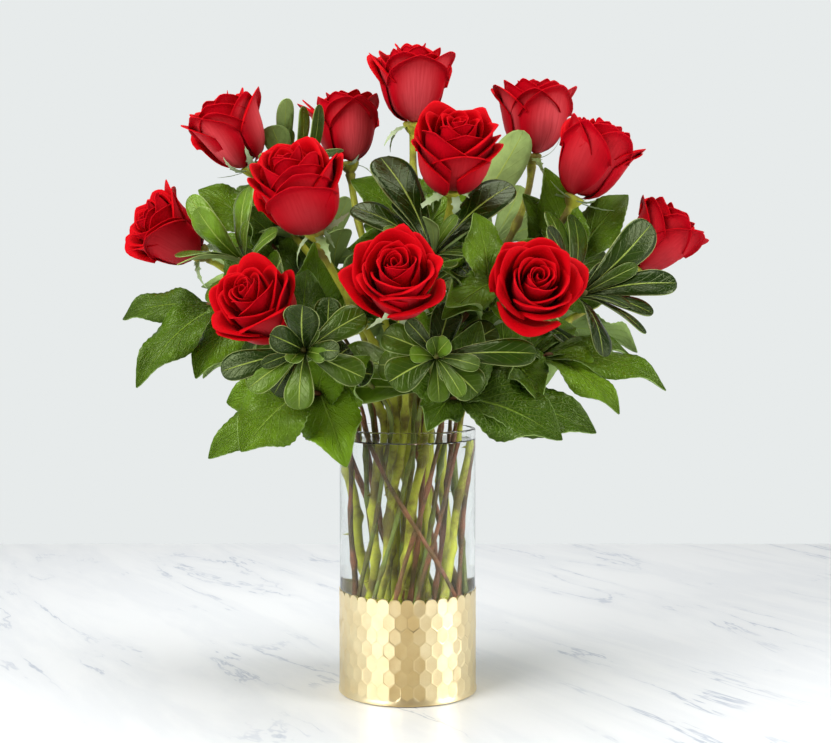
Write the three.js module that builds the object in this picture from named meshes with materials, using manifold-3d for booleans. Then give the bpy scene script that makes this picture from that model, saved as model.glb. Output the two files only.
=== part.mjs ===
// A dozen red roses with mixed foliage in a clear cylinder vase with a gold honeycomb band.
// Millimetres, +Z up, the origin at the middle of the vase's foot. -Y is the front.
import * as THREE from "three";
import { mergeGeometries, mergeVertices } from "three/addons/utils/BufferGeometryUtils.js";
import Module from "manifold-3d";

const wasm = await Module();
wasm.setup();

// ---- Vase -----------------------------------------------------------------------------------
const VASE_HEIGHT = 200;
const VASE_RADIUS = 51.5;
const GLASS_WALL = 3;
const GLASS_BASE = 8;
const VASE_SIDES = 36;
const WATER_LEVEL = 191;
const GAP = 0.3;
const HOLE_CLEARANCE = 0.4;

// ---- Gold band ------------------------------------------------------------------------------
const BAND_COLUMNS = 36;
const BAND_ROWS = 7;
const BAND_ROW_PITCH = 10.2;
const BAND_FIRST_ROW = 10.5;
const BAND_INNER_RADIUS = 50.3;
const BAND_NET_RADIUS = 52;
const BAND_DIMPLE = 0.9;
const BAND_LIP_RADIUS = 52.6;
const BAND_LIP_HEIGHT = 1.5;
const BAND_FOOT = 0.4;

// ---- Stems ----------------------------------------------------------------------------------
// The bunch is twisted in the hand: every stem's foot is turned by the same angle from its place
// in the neck of the vase, so straight stems pass one another without touching.
const TWIST = THREE.MathUtils.degToRad(75);
const NECK_RINGS = [0, 13, 26.5, 39.5];
const ROSE_STEM_RADIUS = 2.9;
const SPRIG_STEM_RADIUS = 1.9;
const SPRIG_TIP_TAPER = 0.8;
const STEM_SIDES = 5;
const RISE_STEPS = 3;
const RISE_PULL = 0.35;
const HEAD_PULL = 0.3;
const ROOT_DEPTH = 1;
const FOOT_LIFT = 1.2;

// ---- Blooms ---------------------------------------------------------------------------------
const BLOOM_HEIGHT = 56;
const CALYX_HEIGHT = 8;
const CALYX_RADIUS = 6.5;
const WIDE_OPEN = 0.7;
const PETAL_THICKNESS = 1.3;
const PETAL_ROWS = 3;
const HEART_SIDES = 6;
const HEART_PROFILE = [[0, 0], [7, 0], [12.5, 14], [11, 32], [0, 46]];
const GOLDEN_TURN = 2.4;
const BLOOM_SEED_STEP = 1.3;

// The sepals: their size, how far out and below the bloom's foot they start,
// and how much of their length they go out and drop.
const SEPAL = {
  count: 5, thickness: 1.2, length: 24, uneven: 5, width: 3.4,
  start: 3, below: 2.5, out: 0.85, drop: 0.55,
};

// Each rose: the middle of its bloom, the way it faces, its size, how far it has opened,
// and where its stem stands in the neck (ring, bearing in degrees).
const ROSES = [
  {
    name: "top", at: [2, 10, 461], faces: [0.0, -0.22, 1],
    size: 1.05, open: 0.75, neck: [1, 50],
  },
  {
    name: "upper_left", at: [-137, 15, 428], faces: [-0.45, -0.2, 0.85],
    size: 1.0, open: 0.5, neck: [1, 170],
  },
  {
    name: "back_left", at: [-50, 45, 434], faces: [-0.1, -0.05, 1],
    size: 0.98, open: 0.6, neck: [1, 110],
  },
  {
    name: "front_upper_left", at: [-77, -75, 375], faces: [-0.3, -0.45, 0.82],
    size: 1.1, open: 0.9, neck: [1, 230],
  },
  {
    name: "centre_right", at: [35, -60, 402], faces: [0.05, -0.65, 0.75],
    size: 1.08, open: 0.85, neck: [0, 0],
  },
  {
    name: "back_right", at: [98, 40, 440], faces: [0.02, -0.1, 1],
    size: 1.08, open: 0.7, neck: [2, 49],
  },
  {
    name: "right", at: [140, -10, 401], faces: [0.42, -0.1, 0.9],
    size: 1.05, open: 0.55, neck: [1, 10],
  },
  {
    name: "far_right", at: [197, 20, 346], faces: [0.6, -0.05, 0.75],
    size: 1.0, open: 0.5, neck: [3, 6],
  },
  {
    name: "far_left", at: [-180, -10, 352], faces: [-0.72, -0.4, 0.5],
    size: 1.0, open: 0.55, neck: [3, 172],
  },
  {
    name: "low_left", at: [-106, -95, 295], faces: [-0.4, -0.78, 0.5],
    size: 1.04, open: 0.85, neck: [2, 229],
  },
  {
    name: "low_centre", at: [-10, -125, 312], faces: [-0.05, -0.85, 0.55],
    size: 1.06, open: 0.95, neck: [2, 265],
  },
  {
    name: "low_right", at: [89, -105, 304], faces: [0.1, -0.93, 0.35],
    size: 1.04, open: 0.95, neck: [2, 301],
  },
];

// ---- Foliage --------------------------------------------------------------------------------
// Each sprig: its kind, where its stem stands in the neck, the tip of its stem, the way the tip
// looks, and its leaves. A leaf is its tip, its width and the place of its root along the last
// part of the stem (1 is the tip, 0 the neck).
const SPRIGS = [
  {
    name: "pittosporum_front_left", kind: "pittosporum", neck: [3, 253],
    tip: [-69, -118, 261], looks: [-0.2, -0.9, 0.2],
    leaves: [
      [-124, -120, 247, 20], [-105, -126, 236, 20], [-71, -130, 222, 21], [-88, -147, 272, 18],
      [-68, -136, 291, 26], [-28, -112, 286, 22], [-44, -138, 261, 14], [-28, -126, 243, 20],
      [-90, -106, 231, 18], [-40, -86, 262, 26, 0.7], [-80, -80, 262, 24, 0.7],
    ],
  },
  {
    name: "pittosporum_front_middle", kind: "pittosporum", neck: [3, 280],
    tip: [20, -112, 257], looks: [0.05, -0.9, 0.3],
    leaves: [
      [-12, -126, 240, 26], [-16, -104, 272, 22], [0, -126, 281, 12], [28, -130, 268, 13],
      [87, -118, 259, 16], [48, -118, 232, 26], [37, -132, 231, 12], [22, -116, 226, 15],
      [62, -84, 276, 24, 0.7], [-20, -78, 250, 24, 0.7],
    ],
  },
  {
    name: "pittosporum_middle", kind: "pittosporum", neck: [1, 290],
    tip: [19, -48, 330], looks: [0.1, -0.6, 0.7],
    leaves: [
      [-18, -12, 400, 26], [-40, -32, 364, 24], [14, -86, 352, 12], [78, -28, 366, 22],
      [75, -52, 326, 22], [44, -82, 312, 18], [-16, -78, 342, 20],
    ],
  },
  {
    name: "pittosporum_right", kind: "pittosporum", neck: [2, 337],
    tip: [126, -48, 300], looks: [0.6, -0.6, 0.4],
    leaves: [
      [177, -40, 351, 28], [194, -50, 308, 22], [175, -62, 286, 17], [167, -78, 272, 10],
      [137, -80, 256, 21], [104, -20, 362, 20, 0.9], [125, -4, 360, 20, 0.9], [150, -20, 320, 18, 0.9],
      [98, -76, 346, 20, 0.9], [56, -30, 310, 22, 0.75],
    ],
  },
  {
    name: "pittosporum_left", kind: "pittosporum", neck: [2, 193],
    tip: [-119, -42, 324], looks: [-0.6, -0.5, 0.5],
    leaves: [
      [-150, -57, 361, 22], [-158, -40, 371, 18], [-162, -72, 326, 22], [-158, -88, 320, 12],
      [-118, -20, 380, 22], [-92, -60, 345, 16], [-150, -20, 300, 24, 0.75], [-92, -66, 318, 22, 0.75],
    ],
  },
  {
    name: "pittosporum_top", kind: "pittosporum", neck: [2, 121],
    tip: [-94, 34, 396], looks: [-0.2, 0.1, 1],
    leaves: [
      [-92, 10, 450, 14], [-80, 22, 446, 13], [-104, 14, 430, 22], [-100, 58, 434, 18],
      [-62, 0, 408, 16], [-78, 64, 400, 18],
    ],
  },
  {
    name: "pittosporum_back_left", kind: "pittosporum", neck: [3, 118],
    tip: [-70, 100, 330], looks: [-0.4, 0.8, 0.5],
    leaves: [
      [-120, 110, 350, 22], [-90, 125, 380, 22], [-50, 120, 385, 20], [-25, 130, 340, 22],
      [-50, 138, 295, 20], [-95, 135, 290, 20], [-125, 115, 310, 20],
    ],
  },
  {
    name: "pittosporum_back_right", kind: "pittosporum", neck: [3, 62],
    tip: [70, 98, 345], looks: [0.4, 0.8, 0.5],
    leaves: [
      [120, 105, 365, 22], [95, 120, 395, 22], [50, 118, 400, 20], [22, 125, 355, 22],
      [45, 140, 310, 20], [90, 138, 305, 20], [125, 118, 325, 20],
    ],
  },
  {
    name: "salal_left", kind: "salal", neck: [3, 199],
    tip: [-150, -50, 292], looks: [-0.8, -0.2, -0.1], face: [-0.1, -0.8, 0.5],
    leaves: [
      [-207, -40, 282, 30], [-190, -76, 234, 38, 0.9], [-150, -66, 240, 36, 0.75], [-120, -20, 290, 34, 0.7],
    ],
  },
  {
    name: "salal_low_left", kind: "salal", neck: [3, 226],
    tip: [-78, -84, 230], looks: [-0.7, -0.6, -0.1], face: [0, -0.9, 0.3],
    leaves: [
      [-113, -106, 192, 46], [-140, -76, 186, 34, 0.9], [-41, -104, 181, 42, 0.7], [-48, -70, 198, 30, 0.55],
    ],
    foot: [[36, -27, 72], [24, -38, 98], [6, -43, 130], [-14, -41.5, 165]], neckRadius: 44.5,
  },
  {
    name: "salal_low_right", kind: "salal", neck: [3, 307],
    tip: [40, -84, 228], looks: [0.8, -0.5, 0.1], face: [0, -0.8, 0.5],
    leaves: [
      [106, -106, 200, 46], [132, -84, 203, 44, 0.9], [14, -106, 206, 30, 0.75],
    ],
  },
  {
    name: "salal_right", kind: "salal", neck: [3, 334],
    tip: [100, -56, 256], looks: [0.9, -0.2, 0.1], face: [0, -0.6, 0.7],
    leaves: [
      [148, -84, 216, 30], [186, -54, 231, 30], [164, -28, 256, 26, 0.85], [126, -4, 276, 30, 0.8],
    ],
  },
  {
    name: "salal_middle", kind: "salal", neck: [1, 335],
    tip: [63, -70, 310], looks: [0.4, -0.6, 0.4], face: [0.2, -0.8, 0.5],
    leaves: [
      [24, -98, 282, 26], [94, -70, 338, 22],
    ],
  },
  {
    name: "salal_behind_right", kind: "salal", neck: [2, 13],
    tip: [130, 22, 332], looks: [0.5, 0, 0.9], face: [0, -0.9, 0.4],
    leaves: [
      [170, 22, 378, 34], [88, 12, 378, 30, 0.9], [160, 50, 330, 34, 0.85], [170, 10, 300, 34, 0.75],
    ],
  },
  {
    name: "salal_behind_left", kind: "salal", neck: [2, 157],
    tip: [-116, 42, 352], looks: [-0.6, 0, 0.8], face: [0, -0.9, 0.4],
    leaves: [
      [-165, 44, 384, 34], [-128, 76, 392, 34], [-94, 60, 384, 26, 0.9], [-158, 66, 336, 34, 0.85],
    ],
  },
  {
    name: "salal_centre", kind: "salal", neck: [2, 85],
    tip: [8, 42, 352], looks: [0, 0, 1], face: [0, -0.9, 0.4],
    leaves: [
      [-42, 32, 388, 36], [56, 28, 384, 36], [-46, 16, 336, 34, 0.85], [56, 24, 328, 34, 0.8],
      [4, 60, 396, 32], [20, 80, 340, 34, 0.85], [79, 5, 424, 28],
    ],
  },
  {
    name: "salal_back_left", kind: "salal", neck: [3, 146],
    tip: [-130, 85, 280], looks: [-0.7, 0.6, 0.2], face: [-0.2, 0.6, 0.7],
    leaves: [
      [-195, 100, 265, 38], [-175, 120, 310, 38, 0.9], [-120, 125, 225, 38, 0.85], [-165, 60, 235, 36, 0.75],
    ],
  },
  {
    name: "salal_back_middle", kind: "salal", neck: [3, 90],
    tip: [0, 118, 270], looks: [0, 0.9, 0.2], face: [0, 0.7, 0.7],
    leaves: [
      [5, 175, 235, 40], [-40, 165, 285, 38, 0.9], [45, 160, 290, 38, 0.85], [-30, 120, 215, 36, 0.75],
      [35, 115, 220, 36, 0.6],
    ],
  },
  {
    name: "salal_back_right", kind: "salal", neck: [3, 34],
    tip: [125, 80, 275], looks: [0.7, 0.6, 0.2], face: [0.2, 0.6, 0.7],
    leaves: [
      [190, 95, 255, 38], [170, 115, 300, 38, 0.9], [115, 120, 225, 38, 0.85], [165, 55, 235, 36, 0.75],
    ],
  },
];

// ---- Materials ------------------------------------------------------------------------------
function material(color, roughness, metalness = 0, opacity = 1) {
  return new THREE.MeshStandardMaterial({ color, roughness, metalness, opacity, transparent: opacity < 1 });
}
const glass = material(0xe8f2f2, 0.05, 0, 0.3);
const water = material(0xe4f0ee, 0.02, 0, 0.35);
const gold = material(0xe3cf9a, 0.3, 1);
const petalRed = material(0xb80712, 0.6);
const stemGreen = material(0x7f9a3a, 0.55);
const leafGreens = { pittosporum: material(0x2f5a2a, 0.35), salal: material(0x4a7d26, 0.45) };

// ---- Solids ---------------------------------------------------------------------------------
// A closed body with its corners shared and its collapsed triangles dropped.
function welded(geometry) {
  const bare = geometry.clone();
  bare.deleteAttribute("normal");
  bare.deleteAttribute("uv");
  const merged = mergeVertices(bare, 1e-4);
  const corners = merged.index.array;
  const kept = [];
  for (let i = 0; i < corners.length; i += 3) {
    const [a, b, c] = corners.slice(i, i + 3);
    if (a !== b && b !== c && c !== a) kept.push(a, b, c);
  }
  merged.setIndex(kept);
  return merged;
}

function toSolid(geometry) {
  const body = welded(geometry);
  const vertProperties = Float32Array.from(body.attributes.position.array);
  const triVerts = Uint32Array.from(body.index.array);
  return new wasm.Manifold(new wasm.Mesh({ numProp: 3, vertProperties, triVerts }));
}

function toGeometry(solid) {
  const mesh = solid.getMesh();
  const geometry = new THREE.BufferGeometry();
  geometry.setAttribute("position", new THREE.BufferAttribute(mesh.vertProperties, 3));
  geometry.setIndex(new THREE.BufferAttribute(mesh.triVerts, 1));
  geometry.computeVertexNormals();
  return geometry;
}

function fused(geometries) {
  return toGeometry(geometries.map(toSolid).reduce((whole, next) => whole.add(next)));
}

// A thin blade with a sharp rim: one grid twice, pushed apart inside the rim.
// surface(u, v) gives a point, u from -1 to 1 across and v from 0 at the root to 1 at the tip.
function blade(surface, across, along, thickness) {
  const face = (side) => {
    const grid = new THREE.PlaneGeometry(2, 1, across, along);
    const place = grid.attributes.position;
    for (let i = 0; i < place.count; i++) {
      const u = place.getX(i);
      const v = place.getY(i) + 0.5;
      const point = surface(u, v);
      const inside = Math.abs(u) < 0.999 && v > 0.001 && v < 0.999;
      if (inside) point.addScaledVector(normalAt(surface, u, v), (side * thickness) / 2);
      place.setXYZ(i, point.x, point.y, point.z);
    }
    if (side < 0) turnedInsideOut(grid);
    return grid;
  };
  return mergeGeometries([face(1), face(-1)]);
}

function normalAt(surface, u, v) {
  const step = 0.01;
  const alongU = surface(u + step, v).sub(surface(u - step, v));
  const alongV = surface(u, v + step).sub(surface(u, v - step));
  return alongU.cross(alongV).normalize();
}

function turnedInsideOut(geometry) {
  const corners = geometry.index.array;
  for (let i = 0; i < corners.length; i += 3) {
    [corners[i + 1], corners[i + 2]] = [corners[i + 2], corners[i + 1]];
  }
}

// A closed rod through the given points, radii[i] thick at points[i].
function rod(points, radii, sides) {
  const steps = points.length - 1;
  const geometry = new THREE.CylinderGeometry(1, 1, 1, sides, steps);
  const place = geometry.attributes.position;
  const rings = points.map((point, i) => {
    const before = points[Math.max(i - 1, 0)];
    const after = points[Math.min(i + 1, steps)];
    const along = after.clone().sub(before).normalize();
    const side = new THREE.Vector3(1, 0, 0).addScaledVector(along, -along.x).normalize();
    return { point, side, other: side.clone().cross(along) };
  });
  for (let i = 0; i < place.count; i++) {
    const ring = Math.round((place.getY(i) + 0.5) * steps);
    const { point, side, other } = rings[ring];
    const moved = point.clone();
    moved.addScaledVector(side, place.getX(i) * radii[ring]);
    moved.addScaledVector(other, place.getZ(i) * radii[ring]);
    place.setXYZ(i, moved.x, moved.y, moved.z);
  }
  return geometry;
}

// ---- Vase, band and water -------------------------------------------------------------------
function lathe(profile, sides) {
  const outline = profile.map(([radius, height]) => new THREE.Vector2(radius, height));
  return new THREE.LatheGeometry(outline, sides).rotateX(Math.PI / 2);
}

function vaseGlass() {
  const inner = VASE_RADIUS - GLASS_WALL;
  const narrow = BAND_INNER_RADIUS - GAP;
  const step = BAND_FIRST_ROW + (BAND_ROWS - 1 + 2 / 3) * BAND_ROW_PITCH + GAP;
  return lathe([
    [0, 0], [narrow, 0], [narrow, step], [VASE_RADIUS, step], [VASE_RADIUS, VASE_HEIGHT],
    [inner, VASE_HEIGHT], [inner, GLASS_BASE], [0, GLASS_BASE],
  ], VASE_SIDES);
}

// The band is a sleeve. Its outside is a net of upright hexagons, each pushed in at its middle.
function goldBand() {
  const half = Math.PI / BAND_COLUMNS;
  const side = BAND_ROW_PITCH / 1.5;
  const spot = (steps, z, radius) => [radius * Math.cos(steps * half), radius * Math.sin(steps * half), z];
  const faces = [];
  const triangle = (a, b, c) => faces.push(...a, ...b, ...c);
  const quad = (a, b, c, d) => {
    triangle(a, b, c);
    triangle(a, c, d);
  };
  const cellZ = (row) => BAND_FIRST_ROW + row * BAND_ROW_PITCH;
  for (let row = 0; row < BAND_ROWS; row++) {
    for (let column = 0; column < BAND_COLUMNS; column++) {
      const at = 2 * column + (row % 2);
      const z = cellZ(row);
      const middle = spot(at, z, BAND_NET_RADIUS - BAND_DIMPLE);
      const ring = [[1, -0.5], [1, 0.5], [0, 1], [-1, 0.5], [-1, -0.5], [0, -1]];
      const corners = ring.map(([turn, rise]) => spot(at + turn, z + rise * side, BAND_NET_RADIUS));
      corners.forEach((corner, i) => triangle(middle, corner, corners[(i + 1) % 6]));
    }
  }
  const topOdd = (BAND_ROWS - 1) % 2;
  const edge = (steps, radius) => {
    const peak = (steps - topOdd) % 2 === 0;
    return spot(steps, cellZ(BAND_ROWS - 1) + side * (peak ? 1 : 0.5), radius);
  };
  const low = cellZ(0) - side;
  for (let steps = 0; steps < 2 * BAND_COLUMNS; steps++) {
    quad(edge(steps, BAND_NET_RADIUS), edge(steps + 1, BAND_NET_RADIUS),
      edge(steps + 1, BAND_INNER_RADIUS), edge(steps, BAND_INNER_RADIUS));
  }
  for (let column = 0; column < BAND_COLUMNS; column++) {
    const [a, b, c] = [2 * column, 2 * column + 1, 2 * column + 2];
    const net = [spot(a, low, BAND_NET_RADIUS), spot(c, low, BAND_NET_RADIUS)];
    const lip = [spot(a, BAND_LIP_HEIGHT, BAND_LIP_RADIUS), spot(c, BAND_LIP_HEIGHT, BAND_LIP_RADIUS)];
    const [left, right] = [spot(a, BAND_FOOT, BAND_INNER_RADIUS), spot(c, BAND_FOOT, BAND_INNER_RADIUS)];
    triangle(...net, spot(b, low + side / 2, BAND_NET_RADIUS));
    quad(...lip, net[1], net[0]);
    quad(left, right, lip[1], lip[0]);
    triangle(right, left, edge(b, BAND_INNER_RADIUS));
    triangle(left, edge(a, BAND_INNER_RADIUS), edge(b, BAND_INNER_RADIUS));
    triangle(right, edge(b, BAND_INNER_RADIUS), edge(c, BAND_INNER_RADIUS));
  }
  const geometry = new THREE.BufferGeometry();
  geometry.setAttribute("position", new THREE.Float32BufferAttribute(faces, 3));
  geometry.setIndex([...Array(faces.length / 3).keys()]);
  return welded(geometry);
}

function waterBody(routes) {
  const radius = VASE_RADIUS - GLASS_WALL - GAP;
  const floor = GLASS_BASE + GAP;
  const outline = [[0, floor], [radius, floor], [radius, WATER_LEVEL], [0, WATER_LEVEL]];
  const column = toSolid(lathe(outline, VASE_SIDES));
  const holes = routes.map(({ points, radius: thick }) => {
    const wet = points.filter((point) => point.z <= VASE_HEIGHT);
    const below = wet[0].clone().sub(wet[1]).setLength(2 * FOOT_LIFT);
    wet[0] = wet[0].clone().add(below);
    return toSolid(rod(wet, wet.map(() => thick + HOLE_CLEARANCE), STEM_SIDES));
  });
  return toGeometry(holes.reduce((whole, hole) => whole.subtract(hole), column));
}

// ---- Stems ----------------------------------------------------------------------------------
const vector = ([x, y, z]) => new THREE.Vector3(x, y, z);

function onRing(radius, bearing, z) {
  return new THREE.Vector3(radius * Math.cos(bearing), radius * Math.sin(bearing), z);
}

// The way of a stem: from its foot straight up to the neck, then in one bend to its head.
function stemRoute({ neck, neckRadius, foot }, head, heading) {
  const [ring, degrees] = neck;
  const radius = neckRadius ?? NECK_RINGS[ring];
  const bearing = THREE.MathUtils.degToRad(degrees);
  const start = onRing(radius, bearing, VASE_HEIGHT);
  const below = foot ? foot.map(vector) : [onRing(radius, bearing - TWIST, GLASS_BASE + FOOT_LIFT)];
  const reach = start.distanceTo(head);
  const rising = start.clone().sub(below.at(-1)).normalize().add(new THREE.Vector3(0, 0, 1)).normalize();
  const bend = new THREE.CubicBezierCurve3(
    start,
    start.clone().addScaledVector(rising, reach * RISE_PULL),
    head.clone().addScaledVector(heading, -reach * HEAD_PULL),
    head,
  );
  return [...below, ...bend.getPoints(RISE_STEPS)];
}

// A place on the last part of a stem, from 0 at the neck to 1 at the tip.
function onRise(points, place) {
  const rise = points.slice(-1 - RISE_STEPS);
  const steps = Math.min(place, 0.999) * RISE_STEPS;
  const index = Math.floor(steps);
  return rise[index].clone().lerp(rise[index + 1], steps - index);
}

// ---- Roses ----------------------------------------------------------------------------------
// A bloom stands on its own axis: z runs from the calyx (0) to the top of the petals.
// A petal is a cup-shaped blade whose side view is a curve of radius against height.
function petalSurface({ bearing, span, rise, belly, top, lip, curl, tuck, droop }) {
  const side = new THREE.CubicBezierCurve3(
    new THREE.Vector3(1, 0, rise),
    new THREE.Vector3(belly * 1.15, 0, rise + (top - rise) * 0.15),
    new THREE.Vector3(belly, 0, top * 0.8),
    new THREE.Vector3(belly + lip, 0, top - curl),
  );
  return (u, v) => {
    const { x: reach, z: height } = side.getPoint(v);
    const spread = span * Math.sin(Math.PI * 0.72 * Math.max(v, 0) ** 0.7);
    const angle = bearing + u * spread;
    const radius = reach + tuck * u * v;
    const fall = droop * Math.abs(u) ** 1.5 * v * v;
    return new THREE.Vector3(radius * Math.cos(angle), radius * Math.sin(angle), height - fall);
  };
}

// The layers of a bloom from its coiled centre out to the guard petals that hang open.
function petalsOf({ open, size }, seed) {
  const layers = [
    {
      count: 1, across: 5, span: 2.7, rise: 24, top: 53,
      belly: 7.5, lip: -2, curl: 0, tuck: 2.5, droop: 2,
    },
    {
      count: 3, across: 3, span: 1.1, rise: 12, top: 52,
      belly: 14 + 2 * open, lip: 1 + 2 * open, curl: 0.5, tuck: 2.2, droop: 4,
    },
    {
      count: 5, across: 2, span: 0.76, rise: 3, top: 48,
      belly: 20 + 3 * open, lip: 3 + 4 * open, curl: 3, tuck: 2.4, droop: 7,
    },
    {
      count: open > WIDE_OPEN ? 3 : 2, across: 2, span: 0.74, rise: 1.5, top: 39,
      belly: 24 + 3 * open, lip: 3 + 3 * open, curl: 5, tuck: 2, droop: 7,
    },
  ];
  return layers.flatMap((layer, depth) => Array.from({ length: layer.count }, (_, i) => ({
    ...layer,
    bearing: seed + depth * GOLDEN_TURN + (i * 2 * Math.PI) / layer.count,
    top: layer.top * size,
    belly: layer.belly * size,
  })));
}

function bloomGeometry(rose, seed) {
  const heart = lathe(HEART_PROFILE, HEART_SIDES);
  const petals = petalsOf(rose, seed).map((petal) => {
    return blade(petalSurface(petal), petal.across, PETAL_ROWS, PETAL_THICKNESS);
  });
  return fused([heart, ...petals]);
}

function sepalSurface(index) {
  const bearing = (index * 2 * Math.PI) / SEPAL.count;
  const outward = new THREE.Vector3(Math.cos(bearing), Math.sin(bearing), 0);
  const across = new THREE.Vector3(-Math.sin(bearing), Math.cos(bearing), 0);
  const length = SEPAL.length + SEPAL.uneven * Math.sin(index * 2.3);
  return (u, v) => {
    const width = SEPAL.width * Math.sin(Math.PI * v ** 0.7);
    const point = outward.clone().multiplyScalar(SEPAL.start + length * v * SEPAL.out);
    point.addScaledVector(across, -u * width);
    point.z = -SEPAL.below - length * SEPAL.drop * v * v;
    return point;
  };
}

function roseStem(rose, pose) {
  const base = new THREE.Vector3(0, 0, -CALYX_HEIGHT).applyMatrix4(pose);
  const heading = new THREE.Vector3(0, 0, 1).transformDirection(pose);
  const points = stemRoute(rose, base, heading);
  const rim = new THREE.Vector3(0, 0, -GAP).applyMatrix4(pose);
  const radii = [...points.map(() => ROSE_STEM_RADIUS), CALYX_RADIUS];
  const stalk = rod([...points, rim], radii, STEM_SIDES);
  const sepals = Array.from({ length: SEPAL.count }, (_, i) => {
    return blade(sepalSurface(i), 2, 2, SEPAL.thickness).applyMatrix4(pose);
  });
  return { geometry: fused([stalk, ...sepals]), points };
}

// The pose of a bloom: its own z axis along the way it faces, its foot below its middle.
function bloomPose({ at, faces, size }) {
  const axis = vector(faces).normalize();
  const turn = new THREE.Quaternion().setFromUnitVectors(new THREE.Vector3(0, 0, 1), axis);
  const foot = vector(at).addScaledVector(axis, (-BLOOM_HEIGHT * size) / 2);
  return new THREE.Matrix4().compose(foot, turn, new THREE.Vector3(1, 1, 1));
}

// ---- Foliage --------------------------------------------------------------------------------
const LEAF_SHAPES = {
  // Rounded near the tip and narrow at the root.
  pittosporum: {
    rows: 3, fold: 0.14, arch: 0.1, wave: 0.05, thickness: 1.5,
    width: (v) => Math.sin(Math.PI * 0.93 * v ** 1.9) ** 0.75,
  },
  // Broad near the root, drawn out to a point.
  salal: {
    rows: 4, fold: 0.1, arch: 0.12, wave: 0.1, thickness: 1.5,
    width: (v) => Math.sin(Math.PI * v ** 0.8) ** 0.85,
  },
};

function leafSurface(kind, root, tip, width, facing) {
  const shape = LEAF_SHAPES[kind];
  const along = tip.clone().sub(root);
  const length = along.length();
  along.normalize();
  const up = facing.clone().addScaledVector(along, -facing.dot(along)).normalize();
  const across = along.clone().cross(up);
  return (u, v) => {
    const half = (width / 2) * shape.width(Math.min(Math.max(v, 0), 1));
    const lift = shape.arch * length * Math.sin(Math.PI * v) + shape.fold * half * Math.abs(u);
    const wave = shape.wave * width * Math.sin(v * 9) * u * u * Math.sin(Math.PI * v);
    const point = root.clone().addScaledVector(along, v * length);
    return point.addScaledVector(across, u * half).addScaledVector(up, lift + wave);
  };
}

function sprigGeometry(sprig) {
  const tip = vector(sprig.tip);
  const looks = vector(sprig.looks).normalize();
  const points = stemRoute(sprig, tip, looks);
  const last = points.length - 1;
  const radii = points.map((_, i) => SPRIG_STEM_RADIUS * (i === last ? SPRIG_TIP_TAPER : 1));
  const stalk = rod(points, radii, STEM_SIDES);
  const leaves = sprig.leaves.map(([x, y, z, width, place = 0.97]) => {
    const root = onRise(points, place);
    const end = new THREE.Vector3(x, y, z);
    root.addScaledVector(end.clone().sub(root).normalize(), -ROOT_DEPTH);
    const facing = vector(sprig.face ?? sprig.looks);
    const shape = LEAF_SHAPES[sprig.kind];
    return blade(leafSurface(sprig.kind, root, end, width, facing), 2, shape.rows, shape.thickness);
  });
  return { geometry: fused([stalk, ...leaves]), points };
}

// ---- The whole ------------------------------------------------------------------------------
const vaseOfRoses = new THREE.Group();

function addPiece(name, geometry, look) {
  const mesh = new THREE.Mesh(geometry, look.clone());
  mesh.name = name;
  vaseOfRoses.add(mesh);
}

const routes = [];
ROSES.forEach((rose, index) => {
  const pose = bloomPose(rose);
  const stem = roseStem(rose, pose);
  routes.push({ points: stem.points, radius: ROSE_STEM_RADIUS });
  const bloom = bloomGeometry(rose, index * BLOOM_SEED_STEP).applyMatrix4(pose);
  addPiece(`rose_${rose.name}_bloom`, bloom, petalRed);
  addPiece(`rose_${rose.name}_stem`, stem.geometry, stemGreen);
});
SPRIGS.forEach((sprig) => {
  const { geometry, points } = sprigGeometry(sprig);
  routes.push({ points, radius: SPRIG_STEM_RADIUS });
  addPiece(sprig.name, geometry, leafGreens[sprig.kind]);
});
addPiece("vase_glass", welded(vaseGlass()), glass);
addPiece("vase_gold_band", goldBand(), gold);
addPiece("vase_water", waterBody(routes), water);

export default vaseOfRoses;
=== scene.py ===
"""A dozen red roses with mixed foliage in a glass vase with a gold honeycomb band.

Metres, +Z up, the origin at the middle of the vase's foot. -Y is the front.
The places in the tables below are in millimetres.
"""

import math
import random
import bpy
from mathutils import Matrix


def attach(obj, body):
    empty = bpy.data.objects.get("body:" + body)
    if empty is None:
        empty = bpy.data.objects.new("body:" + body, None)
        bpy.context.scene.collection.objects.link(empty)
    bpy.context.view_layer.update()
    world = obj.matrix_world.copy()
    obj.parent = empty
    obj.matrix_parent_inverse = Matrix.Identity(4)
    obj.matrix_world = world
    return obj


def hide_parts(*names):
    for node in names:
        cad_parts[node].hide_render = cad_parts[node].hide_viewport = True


bl_info = {
    "name": "Roses in a Vase",
    "version": (1, 0, 0),
    "blender": (4, 5, 0),
    "location": "View3D > Sidebar > Roses",
    "description": "Dresses a packed vase of red roses with petals, leaves, glass and gold",
    "category": "Object",
}

import bmesh
import bpy
from mathutils import Matrix, Vector

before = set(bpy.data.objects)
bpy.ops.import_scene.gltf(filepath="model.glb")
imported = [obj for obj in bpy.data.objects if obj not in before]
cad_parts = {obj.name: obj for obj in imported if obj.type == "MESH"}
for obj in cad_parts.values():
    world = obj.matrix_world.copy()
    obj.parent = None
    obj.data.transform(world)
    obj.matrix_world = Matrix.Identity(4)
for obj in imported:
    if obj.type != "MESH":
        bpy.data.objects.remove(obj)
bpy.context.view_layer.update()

MM = 0.001
UP = Vector((0, 0, 1))
TURNED_CREASE = math.radians(8)

# ---- Sizes of the vase, in millimetres --------------------------------------------------------
VASE_HEIGHT = 200
VASE_RADIUS = 51.5
GLASS_WALL = 3
GLASS_BASE = 8
GLASS_IN_BAND = 50
GLASS_ROUNDING = 1.2
WATER_LAP = 0.15
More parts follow.
